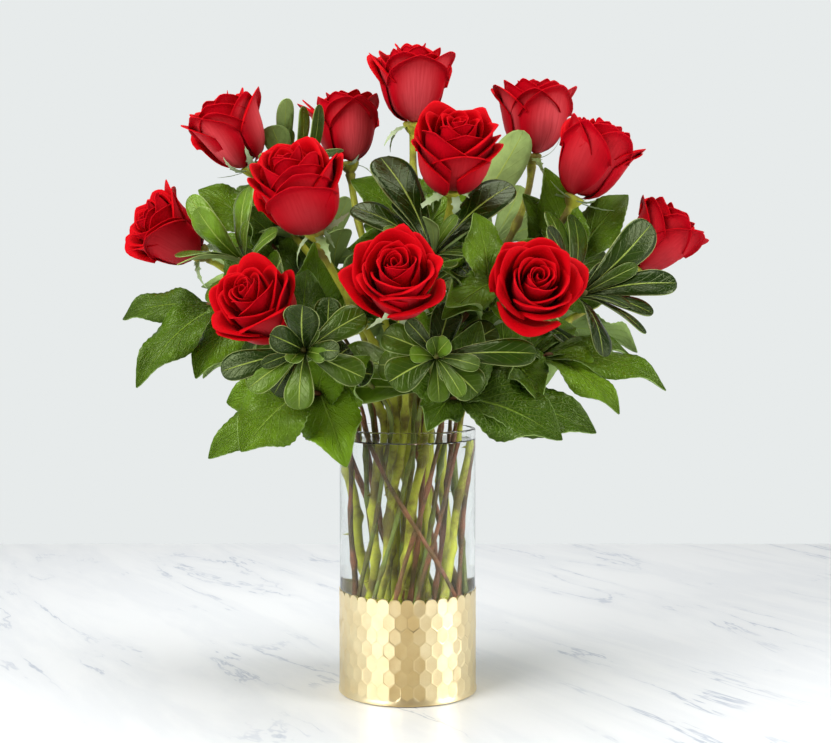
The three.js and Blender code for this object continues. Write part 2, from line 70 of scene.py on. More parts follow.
# How the water climbs at the glass: in from the wall, and up from the level.
WATER_CLIMB = ((0, 1.2), (0.8, 0.4), (2.2, 0))
BAND_TOP = 78.8
BAND_COLUMNS = 36
BAND_ROWS = 7
BAND_ROW_PITCH = 10.2
BAND_FIRST_ROW = 10.5
BAND_TOP_ROW = BAND_FIRST_ROW + BAND_ROW_PITCH * (BAND_ROWS - 1)
BAND_INNER_RADIUS = 50.3
BAND_NET_RADIUS = 52
BAND_FACET_RADIUS = 51.74
BAND_LIP_RADIUS = 52.6
BAND_DIMPLE = 0.22
BAND_FOOT = 0.4
BAND_CREASE = 0.9
CELL_SIDE = BAND_ROW_PITCH / 1.5
FACET_SHARES = (0.90, 0.92)
FACET_TILT = 0.022
BAND_SEED = 7
# The band's foot and top edge, from the net round to the inside: radius, and height at the foot.
FOOT_RINGS = (
    (BAND_NET_RADIUS, BAND_FIRST_ROW - CELL_SIDE), (BAND_LIP_RADIUS, 2.6), (BAND_LIP_RADIUS, 0.9),
    (BAND_NET_RADIUS - 0.4, BAND_FOOT), (BAND_INNER_RADIUS, BAND_FOOT),
)
TOP_RINGS = (BAND_NET_RADIUS - 0.5, BAND_INNER_RADIUS)

# ---- Stems ------------------------------------------------------------------------------------
TWIST = math.radians(75)
NECK_RINGS = (0, 13, 26.5, 39.5)
FOOT_HEIGHT = 9.2
RISE_PULL = 0.35
HEAD_PULL = 0.3
STEM_STEP = 7
WOBBLE_RATES = (0.055, 0.07)
WOBBLE_PHASE = 6
KNUCKLE_SPACING = (34, 44)
KNUCKLE_SWELL = 0.55
KNUCKLE_REACH = 3.5
ROSE_STEM_RADIUS = 2.7
ROSE_STEM_SIDES = 12
ROSE_STEM_WOBBLE = 1.8
ROSE_RISE_STEPS = 26
STEM_SEED = 50
SPRIG_STEM_RADIUS = 1.5
SPRIG_STEM_SIDES = 10
SPRIG_STEM_WOBBLE = 0.8
SPRIG_RISE_STEPS = 22
SPRIG_TAPER = (1, 0.98, 0.95, 0.9, 0.85, 0.8)
BUD_SIZE = (2.4, 2.4, 3.6)
BUD_LIFT = 1.6

# ---- Blooms -----------------------------------------------------------------------------------
BLOOM_HEIGHT = 56
BLOOM_ROOM = 34
BLOOM_TURN = 1.3
WIDE_OPEN = 0.8
# Blooms above this height get the full painted sheen on their petal backs, the lower ones a share
# of it.
SHEEN_PAINT_HEIGHT = 410
LOW_BLOOM_SHEEN_SHARE = 0.3
PETAL_ROWS = 12
OUTER_RISE = 6
LIP_START = 0.66
FOOT_RISE = 0.08
BELLY_RISE = 0.75
RIM_POWER = 1.8
POINT_REACH = 0.6
PEAK_WIDTH = 0.17
SPREAD_TURN = 0.70 * math.pi
SPREAD_POWER = 0.62
CALYX_HEIGHT = 8
# The rings of a calyx: height and radius.
CALYX = ((-6.6, 3.4), (-5.2, 4.8), (-3, 6.2), (-0.8, 7.4), (1.2, 7.8), (2.3, 6.6), (2.6, 3))
SEPALS = 5
SEPAL_GRID = (4, 22)
SEPAL_BENDS = (1.5, 0.4, -0.9, -1.5, -2.0)
SEPAL_LENGTH = (23, 29)
SEPAL_WIDTH = 3.5
SEPAL_ROOT = 5.2
SEPAL_SWAY = 6
SEPAL_TWIST = 0.9
SEPAL_TEETH = (22, 30)
SEPAL_FRINGE = 0.9
THORN_SPACING = 5
BARE_SHARE = 0.45
THORN_RADIUS = 1.5
THORN_LENGTH = 4.4

# ---- Leaves -----------------------------------------------------------------------------------
LEAF_ROOT_SHARE = 0.97
LEAF_ACROSS = 6
YOUNG_REACH = (0.5, 0.7)
YOUNG_LIFT = (3, 9)
YOUNG_WIDTH = (9, 13)
GOLDEN_TURN = 2.4
STEM_LEAF_SHARES = (0.40, 0.48, 0.56, 0.63, 0.70, 0.77, 0.84, 0.91)
STEM_LEAF_LENGTH = (44, 58)
STEM_LEAF_LEAN = 0.6
STEM_LEAF_LOWEST = 222
STEM_LEAF_REACH = 150
STEM_LEAF_FRONT = 112

# Each rose: the middle of its bloom, the way it faces, its size, how far it has opened,
# and where its stem stands in the neck (ring, bearing in degrees).
ROSES = {
    "top": ((4, 10, 461), (0.0, -0.22, 1), 1.1, 0.75, (1, 50)),
    "upper_left": ((-135, 15, 425), (-0.45, -0.2, 0.85), 1.08, 0.5, (1, 170)),
    "back_left": ((-49, 45, 433), (-0.1, -0.05, 1), 1.03, 0.6, (1, 110)),
    "front_upper_left": ((-76, -75, 372), (-0.3, -0.45, 0.82), 1.2, 0.9, (1, 230)),
    "centre_right": ((34, -60, 400), (0.05, -0.65, 0.75), 1.15, 0.85, (0, 0)),
    "back_right": ((98, 40, 440), (0.02, -0.1, 1), 1.08, 0.7, (2, 49)),
    "right": ((138, -10, 401), (0.42, -0.1, 0.9), 1.13, 0.55, (1, 10)),
    "far_right": ((193, 20, 344), (0.6, -0.05, 0.75), 1.02, 0.5, (3, 6)),
    "far_left": ((-178, -10, 347), (-0.72, -0.4, 0.5), 1.02, 0.55, (3, 172)),
    "low_left": ((-101, -95, 291), (-0.4, -0.78, 0.5), 1.04, 0.85, (2, 229)),
    "low_centre": ((-6, -125, 307), (-0.05, -0.85, 0.55), 1.04, 0.95, (2, 265)),
    "low_right": ((86, -105, 303), (0.1, -0.93, 0.35), 1.02, 0.95, (2, 301)),
}

# Each sprig: where its stem stands in the neck, the tip of its stem, the way the tip looks, the
# way its leaves face where that is another way, how young they are, and its leaves. Each leaf: its
# tip, its width, and how far up the stem's rise it grows, where that isn't at the top. A width
# below zero turns the leaf's pale underside to the front.
PITTOSPORUM = {
    "front_left": ((3, 253), (-69, -118, 261), (-0.2, -0.9, 0.2), None, 0.12, (
        (-124, -120, 247, 20), (-105, -126, 236, 20), (-71, -130, 222, 21), (-88, -147, 272, 18),
        (-68, -136, 291, 26), (-28, -112, 286, 22), (-44, -138, 261, 14), (-28, -126, 243, 20),
        (-90, -106, 231, 18), (-40, -86, 262, 26, 0.7), (-80, -80, 262, 24, 0.7),
    )),
    "front_middle": ((3, 280), (20, -112, 257), (0.05, -0.9, 0.3), None, 0.2, (
        (-12, -126, 240, 26), (-16, -104, 272, 22), (0, -126, 281, 12), (28, -130, 268, 13),
        (48, -118, 232, 26), (22, -116, 226, 15), (37, -132, 231, 12), (87, -118, 259, 20),
        (62, -84, 276, 24, 0.7), (-20, -78, 250, 24, 0.7), (-48, -46, 256, 28, 0.5),
        (-44, -44, 232, 26, 0.4),
    )),
    "middle": ((1, 290), (19, -48, 330), (0.1, -0.6, 0.7), None, 0.15, (
        (-20, -18, 402, 34), (-40, -32, 364, 28), (14, -86, 352, 12), (76, -36, 380, 32),
        (75, -52, 326, 22), (44, -82, 312, 18), (-16, -78, 342, 20), (88, 0, 424, -31, 0.97),
    )),
    "right": ((2, 337), (126, -48, 300), (0.6, -0.6, 0.4), None, -0.3, (
        (177, -40, 351, 28), (194, -50, 308, 22), (175, -62, 286, 17), (167, -78, 272, 10),
        (137, -80, 256, 21), (104, -20, 362, 20, 0.9), (125, -4, 360, 20, 0.9),
        (150, -20, 320, 18, 0.9), (98, -76, 346, 20, 0.9), (56, -30, 310, 22, 0.75),
    )),
    "left": ((2, 193), (-119, -42, 324), (-0.6, -0.5, 0.5), None, 0.55, (
        (-150, -57, 361, 22), (-158, -40, 371, 18), (-162, -72, 326, 22), (-158, -88, 320, 12),
        (-118, -20, 380, 22), (-92, -60, 345, 16), (-150, -20, 300, 24, 0.75),
        (-92, -66, 318, 22, 0.75),
    )),
    "top": ((2, 121), (-94, 34, 396), (-0.2, 0.1, 1), None, 0.3, (
        (-92, 10, 450, 14), (-80, 22, 446, -13), (-104, 14, 430, 22), (-100, 58, 434, 18),
        (-62, 0, 408, 16), (-78, 64, 400, 18), (-66, -4, 443, -11, 0.9), (-50, 14, 412, 20, 0.95),
    )),
    "back_left": ((3, 118), (-70, 100, 330), (-0.4, 0.8, 0.5), None, 0.2, (
        (-120, 110, 350, 22), (-90, 125, 380, 22), (-50, 120, 385, 20), (-25, 130, 340, 22),
        (-50, 138, 295, 20), (-95, 135, 290, 20), (-125, 115, 310, 20),
    )),
    "back_right": ((3, 62), (70, 98, 345), (0.4, 0.8, 0.5), None, 0.2, (
        (120, 105, 365, 22), (95, 120, 395, 22), (50, 118, 400, 20), (22, 125, 355, 22),
        (45, 140, 310, 20), (90, 138, 305, 20), (125, 118, 325, 20),
    )),
}
SALAL = {
    "left": ((3, 199), (-150, -50, 292), (-0.8, -0.2, -0.1), (-0.1, -0.8, 0.5), 0.2, (
        (-207, -40, 282, 25), (-190, -76, 234, 33, 0.9), (-150, -66, 240, 36, 0.75),
        (-120, -20, 290, 34, 0.7),
    )),
    "low_left": ((3, 226), (-78, -84, 230), (-0.7, -0.6, -0.1), (0, -0.9, 0.3), 0.6, (
        (-113, -106, 192, 46), (-140, -74, 184, 28, 0.9), (-41, -104, 181, 42, 0.7),
        (-48, -70, 198, 30, 0.55),
    )),
    "low_right": ((3, 307), (40, -84, 228), (0.8, -0.5, 0.1), (0, -0.8, 0.5), -0.2, (
        (106, -106, 200, 46), (132, -84, 203, 44, 0.9), (14, -106, 206, 30, 0.75),
    )),
    "right": ((3, 334), (100, -56, 256), (0.9, -0.2, 0.1), (0, -0.6, 0.7), 0.5, (
        (148, -84, 216, 30), (186, -54, 231, 30), (164, -28, 256, 26, 0.85),
        (126, -4, 276, 30, 0.8),
    )),
    "middle": ((1, 335), (63, -70, 310), (0.4, -0.6, 0.4), (0.2, -0.8, 0.5), 0.6, (
        (24, -98, 282, 26), (94, -70, 338, 22),
    )),
    "behind_right": ((2, 13), (130, 22, 332), (0.5, 0, 0.9), (0, -0.9, 0.4), 0.3, (
        (170, 22, 378, 34), (88, 12, 378, 30, 0.9), (160, 50, 330, 34, 0.85),
        (170, 10, 300, 34, 0.75), (104, 4, 397, 34, 0.93),
    )),
    "behind_left": ((2, 157), (-116, 42, 352), (-0.6, 0, 0.8), (0, -0.9, 0.4), 0.4, (
        (-165, 44, 384, 34), (-128, 76, 392, 34), (-94, 60, 384, 26, 0.9),
        (-158, 66, 336, 34, 0.85),
    )),
    "centre": ((2, 85), (8, 42, 352), (0, 0, 1), (0, -0.9, 0.4), 0.35, (
        (-44, 28, 390, 42), (56, 28, 384, 36), (-46, 16, 336, 34, 0.85), (56, 24, 328, 34, 0.8),
        (4, 60, 396, 32), (20, 80, 340, 34, 0.85), (-16, 62, 413, 30),
        (34, 58, 410, 28),
    )),
    "back_left": ((3, 146), (-130, 85, 280), (-0.7, 0.6, 0.2), (-0.2, 0.6, 0.7), 0.3, (
        (-195, 100, 265, 38), (-175, 120, 310, 38, 0.9), (-120, 125, 225, 38, 0.85),
        (-165, 60, 235, 36, 0.75),
    )),
    "back_middle": ((3, 90), (0, 118, 270), (0, 0.9, 0.2), (0, 0.7, 0.7), 0.3, (
        (5, 175, 235, 40), (-40, 165, 285, 38, 0.9), (45, 160, 290, 38, 0.85),
        (-30, 120, 215, 36, 0.75), (35, 115, 220, 36, 0.6),
    )),
    "back_right": ((3, 34), (125, 80, 275), (0.7, 0.6, 0.2), (0.2, 0.6, 0.7), 0.3, (
        (190, 95, 255, 38), (170, 115, 300, 38, 0.9), (115, 120, 225, 38, 0.85),
        (165, 55, 235, 36, 0.75),
    )),
}
# The brown stem that crosses the vase from low right to high left, bent by its neighbours.
CROSSING_STEM = ((36, -27, 72), (24, -38, 98), (6, -43, 130), (-14, -41.5, 165))
CROSSING_NECK_RADIUS = 44.5


# ---- Settings ---------------------------------------------------------------------------------
class VaseSettings(bpy.types.PropertyGroup):
    """What a user may change on the vase, its band and its water."""

    sides: bpy.props.IntProperty(
        name="Sides", description="Strips round the glass and the water",
        default=96, min=24, max=256,
    )
    glass_colour: bpy.props.FloatVectorProperty(
        name="Glass", description="Colour of the clear glass",
        subtype="COLOR", size=4, min=0, max=1, default=(0.97, 0.985, 0.98, 1),
    )
    water_colour: bpy.props.FloatVectorProperty(
        name="Water", description="Colour of the water",
        subtype="COLOR", size=4, min=0, max=1, default=(0.985, 0.995, 0.99, 1),
    )
    water_level: bpy.props.FloatProperty(
        name="Water level", description="Height of the water's surface above the foot",
        unit="LENGTH", default=0.191, min=0.05, max=0.198,
    )
    gold_colour: bpy.props.FloatVectorProperty(
        name="Gold", description="Colour of the honeycomb band",
        subtype="COLOR", size=4, min=0, max=1, default=(0.90, 0.76, 0.46, 1),
    )


class RoseSettings(bpy.types.PropertyGroup):
    """What a user may change on the roses."""

    petal_colour: bpy.props.FloatVectorProperty(
        name="Petal", description="Velvet red of a petal's inner face",
        subtype="COLOR", size=4, min=0, max=1, default=(0.50, 0.0003, 0.004, 1),
    )
    petal_back_colour: bpy.props.FloatVectorProperty(
        name="Petal back", description="Duller red of a petal's outer face",
        subtype="COLOR", size=4, min=0, max=1, default=(0.46, 0.0006, 0.008, 1),
    )
    stem_colour: bpy.props.FloatVectorProperty(
        name="Stem", description="Light green of a rose stem",
        subtype="COLOR", size=4, min=0, max=1, default=(0.46, 0.48, 0.045, 1),
    )
    petal_thickness: bpy.props.FloatProperty(
        name="Petal thickness", description="Thickness of a petal",
        unit="LENGTH", default=0.0005, min=0.0002, max=0.0015,
    )
    seed: bpy.props.IntProperty(
        name="Seed", description="Start of the petals' small differences",
        default=4, min=0, max=999,
    )


class FoliageSettings(bpy.types.PropertyGroup):
    """What a user may change on the leaves and their twigs."""

    pittosporum_colour: bpy.props.FloatVectorProperty(
        name="Pittosporum", description="Dark glossy green of a grown pittosporum leaf",
        subtype="COLOR", size=4, min=0, max=1, default=(0.009, 0.025, 0.001, 1),
    )
    salal_colour: bpy.props.FloatVectorProperty(
        name="Salal", description="Bright green of a grown salal leaf",
        subtype="COLOR", size=4, min=0, max=1, default=(0.034, 0.080, 0.0015, 1),
    )
    twig_colour: bpy.props.FloatVectorProperty(
        name="Twig", description="Brown red of a foliage stem",
        subtype="COLOR", size=4, min=0, max=1, default=(0.22, 0.088, 0.042, 1),
    )
    leaf_thickness: bpy.props.FloatProperty(
        name="Leaf thickness", description="Thickness of a leaf",
        unit="LENGTH", default=0.0006, min=0.0003, max=0.002,
    )


class StageSettings(bpy.types.PropertyGroup):
    """What a user may change on the floor, the lights and the camera."""

    floor_colour: bpy.props.FloatVectorProperty(
        name="Floor", description="Colour of the marble between its veins",
        subtype="COLOR", size=4, min=0, max=1, default=(0.86, 0.875, 0.88, 1),
    )
    backdrop_colour: bpy.props.FloatVectorProperty(
        name="Backdrop", description="Pale grey blue behind the vase",
        subtype="COLOR", size=4, min=0, max=1, default=(0.80, 0.83, 0.83, 1),
    )
    floor_back: bpy.props.FloatProperty(
        name="Floor's back edge", description="How far behind the vase the floor ends",
        unit="LENGTH", default=0.665, min=0.3, max=3,
    )
    lens: bpy.props.FloatProperty(
        name="Lens", description="Focal length of the camera",
        unit="CAMERA", default=57.8, min=20, max=200,
    )
    softbox_power: bpy.props.FloatProperty(
        name="Softbox power", description="Power of the main softbox",
        unit="POWER", default=43, min=0, max=200,
    )


# ---- Shapes -----------------------------------------------------------------------------------
def finish_piece(name, bm, materials, slot, nodes, crease=None):
    """Makes the piece's object from its mesh, in place of the CAD nodes it stands for.

    Edges that turn by more than the crease stay sharp."""
    mesh = bpy.data.meshes.new(name)
    bmesh.ops.transform(bm, matrix=Matrix.Scale(MM, 4), verts=bm.verts)
    bm.to_mesh(mesh)
    bm.free()
    mesh.shade_smooth()
    if crease:
        mesh.set_sharp_from_angle(angle=crease)
    for material in materials:
        mesh.materials.append(material)
    piece = bpy.data.objects.new(name, mesh)
    bpy.context.scene.collection.objects.link(piece)
    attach(piece, "root")
    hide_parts(*nodes)
    return piece


def add_thickness(piece, thickness):
    """Gives sheets a wall on their back, whose faces take the next material."""
    wall = piece.modifiers.new("Thickness", "SOLIDIFY")
    wall.thickness = thickness
    wall.offset = -1
    wall.material_offset = 1
    wall.material_offset_rim = 1


def new_sheet_mesh():
    """An empty mesh for petals, sepals or leaves, with a UV map and a value on each vertex: for a
    leaf how old it is, for a petal its share of painted sheen.
    """
    bm = bmesh.new()
    bm.loops.layers.uv.new("UVMap")
    bm.verts.layers.float.new("leaf_age_petal_sheen")
    return bm


def turned_to(way):
    """The turn that lays the upward axis along a way."""
    return UP.rotation_difference(way).to_matrix().to_4x4()


def add_blade(bm, place, across, along, leaf_age_petal_sheen, material=0):
    """A grid bent to place(u, v): u from -1 to 1 across, v from 0 at the root to 1 at the tip."""
    age_layer = bm.verts.layers.float["leaf_age_petal_sheen"]
    grid = bmesh.ops.create_grid(
        bm, x_segments=across, y_segments=along, size=1, calc_uvs=True
    )
    for vert in grid["verts"]:
        vert.co = place(vert.co.x, (vert.co.y + 1) / 2)
        vert[age_layer] = leaf_age_petal_sheen
        for face in vert.link_faces:
            face.material_index = material


def draw_out(bm, edges):
    """Extrudes a ring of edges, and gives the new ring's vertices and edges, and the faces."""
    made = bmesh.ops.extrude_edge_only(bm, edges=edges)["geom"]
    verts = [part for part in made if isinstance(part, bmesh.types.BMVert)]
    faces = [part for part in made if isinstance(part, bmesh.types.BMFace)]
    ring = [
        part for part in made
        if isinstance(part, bmesh.types.BMEdge) and all(vert in verts for vert in part.verts)
    ]
    return verts, ring, faces


def add_rod(bm, points, radii, sides):
    """A closed rod through the points: a disc at its foot, drawn out ring by ring."""
    turn = UP.rotation_difference(points[1] - points[0])
    poses = []
    for i, (point, radius) in enumerate(zip(points, radii)):
        ahead = points[min(i + 1, len(points) - 1)] - points[max(i - 1, 0)]
        turn = (turn @ UP).rotation_difference(ahead) @ turn
        size = Matrix.Diagonal((radius, radius, radius, 1))
        poses.append(Matrix.Translation(point) @ turn.to_matrix().to_4x4() @ size)
    disc = bmesh.ops.create_circle(
        bm, cap_ends=True, radius=1, segments=sides, matrix=poses[0]
    )
    foot = disc["verts"][0].link_faces[0]
    edges = list(foot.edges)
    made = [foot]
    for before, after in zip(poses, poses[1:]):
        verts, edges, faces = draw_out(bm, edges)
        made += faces
        bmesh.ops.transform(bm, matrix=after @ before.inverted(), verts=verts)
    made += bmesh.ops.edgeloop_fill(bm, edges=edges)["faces"]
    bmesh.ops.recalc_face_normals(bm, faces=made)


def spin_profile(profile, sides, rounded=()):
    """A turned body from its outline of (radius, height), with the rounded corners eased."""
    bm = bmesh.new()
    corners = [bm.verts.new((reach, 0, height)) for reach, height in profile]
    for start, end in zip(corners, corners[1:]):
        bm.edges.new((start, end))
    if rounded:
        bmesh.ops.bevel(
            bm, geom=[corners[i] for i in rounded], offset=GLASS_ROUNDING, segments=4,
            profile=0.5, affect="VERTICES", material=-1,
        )
    bmesh.ops.spin(
        bm, geom=bm.verts[:] + bm.edges[:], cent=(0, 0, 0), axis=UP,
        angle=2 * math.pi, steps=sides, use_merge=True,
    )
    bmesh.ops.remove_doubles(bm, verts=bm.verts, dist=0.001)
    bmesh.ops.recalc_face_normals(bm, faces=bm.faces)
    return bm


def on_bezier(points, share):
    """A place on a cubic curve, from 0 at its start to 1 at its end."""
    a, b, c, d = points
    rest = 1 - share
    return (
        a * rest**3 + b * 3 * rest**2 * share + c * 3 * rest * share**2 + d * share**3
    )


def on_ring(radius, bearing, height):
    """A place on a level circle round the vase's axis."""
    return Vector((radius * math.cos(bearing), radius * math.sin(bearing), height))


def stem_curves(neck, head, heading, crossing=False):
    """A stem's places below the neck, and the cubic curve from the neck to its head."""
    ring, degrees = neck
    bearing = math.radians(degrees)
    radius = CROSSING_NECK_RADIUS if crossing else NECK_RINGS[ring]
    start = on_ring(radius, bearing, VASE_HEIGHT)
    if crossing:
        below = [Vector(point) for point in CROSSING_STEM]
    else:
        below = [on_ring(radius, bearing - TWIST, FOOT_HEIGHT)]
    reach = (head - start).length
    rising = ((start - below[-1]).normalized() + UP).normalized()
    bend = (
        start, start + rising * RISE_PULL * reach, head - heading * HEAD_PULL * reach, head,
    )
    return below, bend


def stem_points(below, bend, rise_steps, wobble, rng):
    """The places of a stem's rings, with the slight crookedness of a grown stem."""
    corners = [*below, bend[0]]
    points = []
    phase = rng.uniform(0, WOBBLE_PHASE)
    for start, end in zip(corners, corners[1:]):
        steps = max(2, round((end - start).length / STEM_STEP))
        for i in range(steps):
            points.append(start.lerp(end, i / steps))
    for i, point in enumerate(points):
        fade = wobble * math.sin(math.pi * i / len(points))
        across, ahead = (point.z * rate + phase for rate in WOBBLE_RATES)
        points[i] = point + Vector((fade * math.sin(across), fade * math.cos(ahead), 0))
    return points + [on_bezier(bend, i / rise_steps) for i in range(rise_steps + 1)]


# ---- Nodes ------------------------------------------------------------------------------------
def fill(tree, node, inputs):
    """Joins or sets a node's inputs by name or number."""
    for key, value in inputs.items():
        if isinstance(value, bpy.types.NodeSocket):
            tree.links.new(value, node.inputs[key])
        else:
            node.inputs[key].default_value = value


def add_node(tree, kind, inputs=None, **settings):
    """A shader node with its settings and its inputs."""
    node = tree.nodes.new("ShaderNode" + kind)
    for setting, value in settings.items():
        setattr(node, setting, value)
    fill(tree, node, inputs or {})
    return node


def maths(tree, operation, *values):
    """One step of a sum."""
    return add_node(tree, "Math", dict(enumerate(values)), operation=operation).outputs[0]


def times(tree, first, second):
    """The product of two values."""
    return maths(tree, "MULTIPLY", first, second)


def between(tree, mask, low, high):
    """From low where the mask is 0 to high where it is 1."""
    return maths(tree, "MULTIPLY_ADD", mask, high - low, low)


def step_mask(tree, value, low, high):
    """0 below low, 1 above high, smooth in between; the other way round where low is above."""
    turned = add_node(
        tree, "MapRange", {"Value": value, "From Min": low, "From Max": high},
        interpolation_type="SMOOTHSTEP",
    )
    return turned.outputs["Result"]


def mixed(tree, mask, first, second, share=1):
    """The first colour, and the second where the mask is 1, up to a share of it."""
    if share != 1:
        mask = times(tree, mask, share)
    return add_node(tree, "Mix", {0: mask, 6: first, 7: second}, data_type="RGBA").outputs[2]


def tinted(colour, factor, more=0.0):
    """A colour times one factor, or one for each channel, and a little more of each."""
    factors = factor if isinstance(factor, tuple) else (factor,) * 3
    return [min(1, channel * part + more) for channel, part in zip(colour, factors)] + [1]


def bumped(tree, height, strength, distance):
    """The normal of a surface with fine relief."""
    bump = add_node(tree, "Bump", {"Height": height, "Strength": strength, "Distance": distance})
    return bump.outputs["Normal"]


def on_blade(tree):
    """The place on a petal or leaf, across it and along it, from its UV map."""
    spot = add_node(tree, "SeparateXYZ", {0: add_node(tree, "UVMap").outputs[0]}).outputs
    return spot["X"], spot["Y"]


def beside_middle(tree, across):
    """0 on the middle line of a petal or leaf, and 1 at its edges."""
    return maths(tree, "ABSOLUTE", maths(tree, "MULTIPLY_ADD", across, 2.0, -1.0))


def new_group(name, inputs, outputs):
    """A shader node group with named float inputs and outputs."""
    group = bpy.data.node_groups.new(name, "ShaderNodeTree")
    for label, value in inputs.items():
        socket = group.interface.new_socket(
            label, in_out="INPUT", socket_type="NodeSocketFloat"
        )
        socket.default_value = value
    for label in outputs:
        group.interface.new_socket(label, in_out="OUTPUT", socket_type="NodeSocketFloat")
    way_in = group.nodes.new("NodeGroupInput")
    way_out = group.nodes.new("NodeGroupOutput")
    return group, way_in.outputs, way_out.inputs


def new_material(name):
    """A material, its node tree and its Principled shader."""
    material = bpy.data.materials.new(name)
    material.use_nodes = True
    return material, material.node_tree, material.node_tree.nodes["Principled BSDF"]


def blotch_group():
    """Uneven colour on any grown surface, read from the object's own space."""
    if "Grown blotches" in bpy.data.node_groups:
        return bpy.data.node_groups["Grown blotches"]
    group, given, results = new_group(
        "Grown blotches", {"Size": 60.0, "Low": 0.35, "High": 0.65}, ["Mask"]
    )
    where = add_node(group, "TexCoord").outputs["Object"]
    cloud = add_node(
        group, "TexNoise",
        {"Vector": where, "Scale": given["Size"], "Detail": 4.0, "Roughness": 0.6},
    )
    mask = step_mask(group, cloud.outputs["Fac"], given["Low"], given["High"])
    group.links.new(mask, results["Mask"])
    return group


def blotched(tree, size, low=0.3, high=0.7):
    """A mask of blotches: the size is how many go into a metre."""
    inputs = {"Size": size, "Low": low, "High": high}
    return add_node(tree, "Group", inputs, node_tree=blotch_group()).outputs["Mask"]


def vein_group():
    """Midrib, side veins, net and rim of a leaf, read from its UV map."""
    if "Leaf veins" in bpy.data.node_groups:
        return bpy.data.node_groups["Leaf veins"]
    group, given, results = new_group(
        "Leaf veins",
        {"Side veins": 9.0, "Slant": 3.0, "Rib width": 0.05, "Rim width": 0.06, "Net size": 26.0},
        ["Rib", "Veins", "Net", "Rim", "Along"],
    )
    across, along = on_blade(group)
    beside = beside_middle(group, across)
    taper = times(group, given["Rib width"], maths(group, "SUBTRACT", 1.3, along))
    rib = maths(group, "SUBTRACT", 1.0, step_mask(group, beside, 0.0, taper))
    reach = times(group, maths(group, "POWER", beside, 0.85), given["Slant"])
    phase = maths(group, "SUBTRACT", times(group, along, given["Side veins"]), reach)
    ridge = maths(group, "ABSOLUTE", maths(group, "SUBTRACT", maths(group, "FRACT", phase), 0.5))
    fading = maths(group, "SUBTRACT", 1.0, step_mask(group, beside, 0.55, 0.95))
    veins = times(group, step_mask(group, ridge, 0.40, 0.5), fading)
    flat = add_node(group, "CombineXYZ", {0: times(group, across, 0.5), 1: along}).outputs[0]
    cells = add_node(
        group, "TexVoronoi", {"Vector": flat, "Scale": given["Net size"]},
        feature="DISTANCE_TO_EDGE",
    )
    net = maths(group, "SUBTRACT", 1.0, step_mask(group, cells.outputs["Distance"], 0.0, 0.16))
    rim = step_mask(group, beside, maths(group, "SUBTRACT", 1.0, given["Rim width"]), 1.0)
    for label, value in (
        ("Rib", rib), ("Veins", veins), ("Net", net), ("Rim", rim), ("Along", along),
    ):
        group.links.new(value, results[label])
    return group


# ---- Materials --------------------------------------------------------------------------------
# Pale pink for the middle of a petal's back: the petal's own paler centre, and painted sheen.
PETAL_PALE_AND_SHEEN = (0.80, 0.10, 0.115, 1)
# Painted highlight along a petal's lip.
PETAL_LIP_HIGHLIGHT = (0.52, 0.004, 0.016, 1)
PETAL_SHEEN = (1.0, 0.42, 0.46, 1)
LEAF_GLOSS = (0.85, 1.0, 0.5, 1)
CLEAR_GLOSS = (0.25, 0.25, 0.25, 1)
VEIN_GREY = (0.42, 0.47, 0.56, 1)
CARD_TAN = (0.52, 0.46, 0.34, 1)
GLASS_IOR = 1.47
GLASS_WAVE = 0.0001
WATER_IOR = 1.333
WATER_WAVE = 0.00005


def petal_material(name, colour, back):
    """Velvet red with painted shade towards the petal's foot, fine veins, a painted highlight on
    the lip, and a pale centre with painted sheen on the back.
    """
    material, tree, shader = new_material(name)
    across, along = on_blade(tree)
    leaf_age_petal_sheen = add_node(tree, "Attribute", attribute_name="leaf_age_petal_sheen").outputs["Fac"]
    stretched = add_node(tree, "CombineXYZ", {
        0: times(tree, across, 22.0), 1: times(tree, along, 2.5), 2: times(tree, leaf_age_petal_sheen, 9.0),
    }).outputs[0]
    streaks = add_node(
        tree, "TexNoise", {"Vector": stretched, "Scale": 1.6, "Detail": 3.0}
    ).outputs["Fac"]
    blotches = blotched(tree, size=45.0, high=0.75)
    # Painted shade: the red darkens towards the petal's foot, deep in the bloom; the same darker
    # red also colours the fine veins.
    shade_and_vein_red = tinted(colour, 0.5 if back else 0.85)
    bright = tinted(colour, 1.2, more=0.004 if back else 0.002)
    body = mixed(tree, step_mask(tree, along, 0.12, 0.62), shade_and_vein_red, colour)
    veined = mixed(tree, step_mask(tree, streaks, 0.45, 0.75), body, shade_and_vein_red, share=0.22)
    patched = mixed(tree, blotches, veined, bright, share=0.5)
    # On the back, the middle of the petal turns pale pink: partly its own paler centre, partly
    # painted sheen, which the high blooms get in full.
    if back:
        beside = step_mask(tree, beside_middle(tree, across), 0.85, 0.1)
        middle = times(tree, beside, step_mask(tree, along, 0.85, 0.4))
        uneven = between(tree, step_mask(tree, streaks, 0.75, 0.3), 0.55, 0.85)
        pale_and_sheen = times(tree, times(tree, middle, uneven), leaf_age_petal_sheen)
        patched = mixed(tree, pale_and_sheen, patched, PETAL_PALE_AND_SHEEN)
    # Painted highlight: a brighter, pinker red along the petal's lip.
    rim = step_mask(tree, along, 0.96, 1.0)
    fill(tree, shader, {
        "Base Color": mixed(tree, rim, patched, PETAL_LIP_HIGHLIGHT, share=0.2),
        "Roughness": between(tree, blotches, *((0.48, 0.60) if back else (0.55, 0.67))),
        "Normal": bumped(tree, streaks, strength=0.28, distance=0.0006),
        "Specular IOR Level": 0.05 if back else 0.04,
        "Sheen Weight": 0.03 if back else 0.02,
        "Sheen Roughness": 0.35,
        "Sheen Tint": PETAL_SHEEN,
    })
    return material


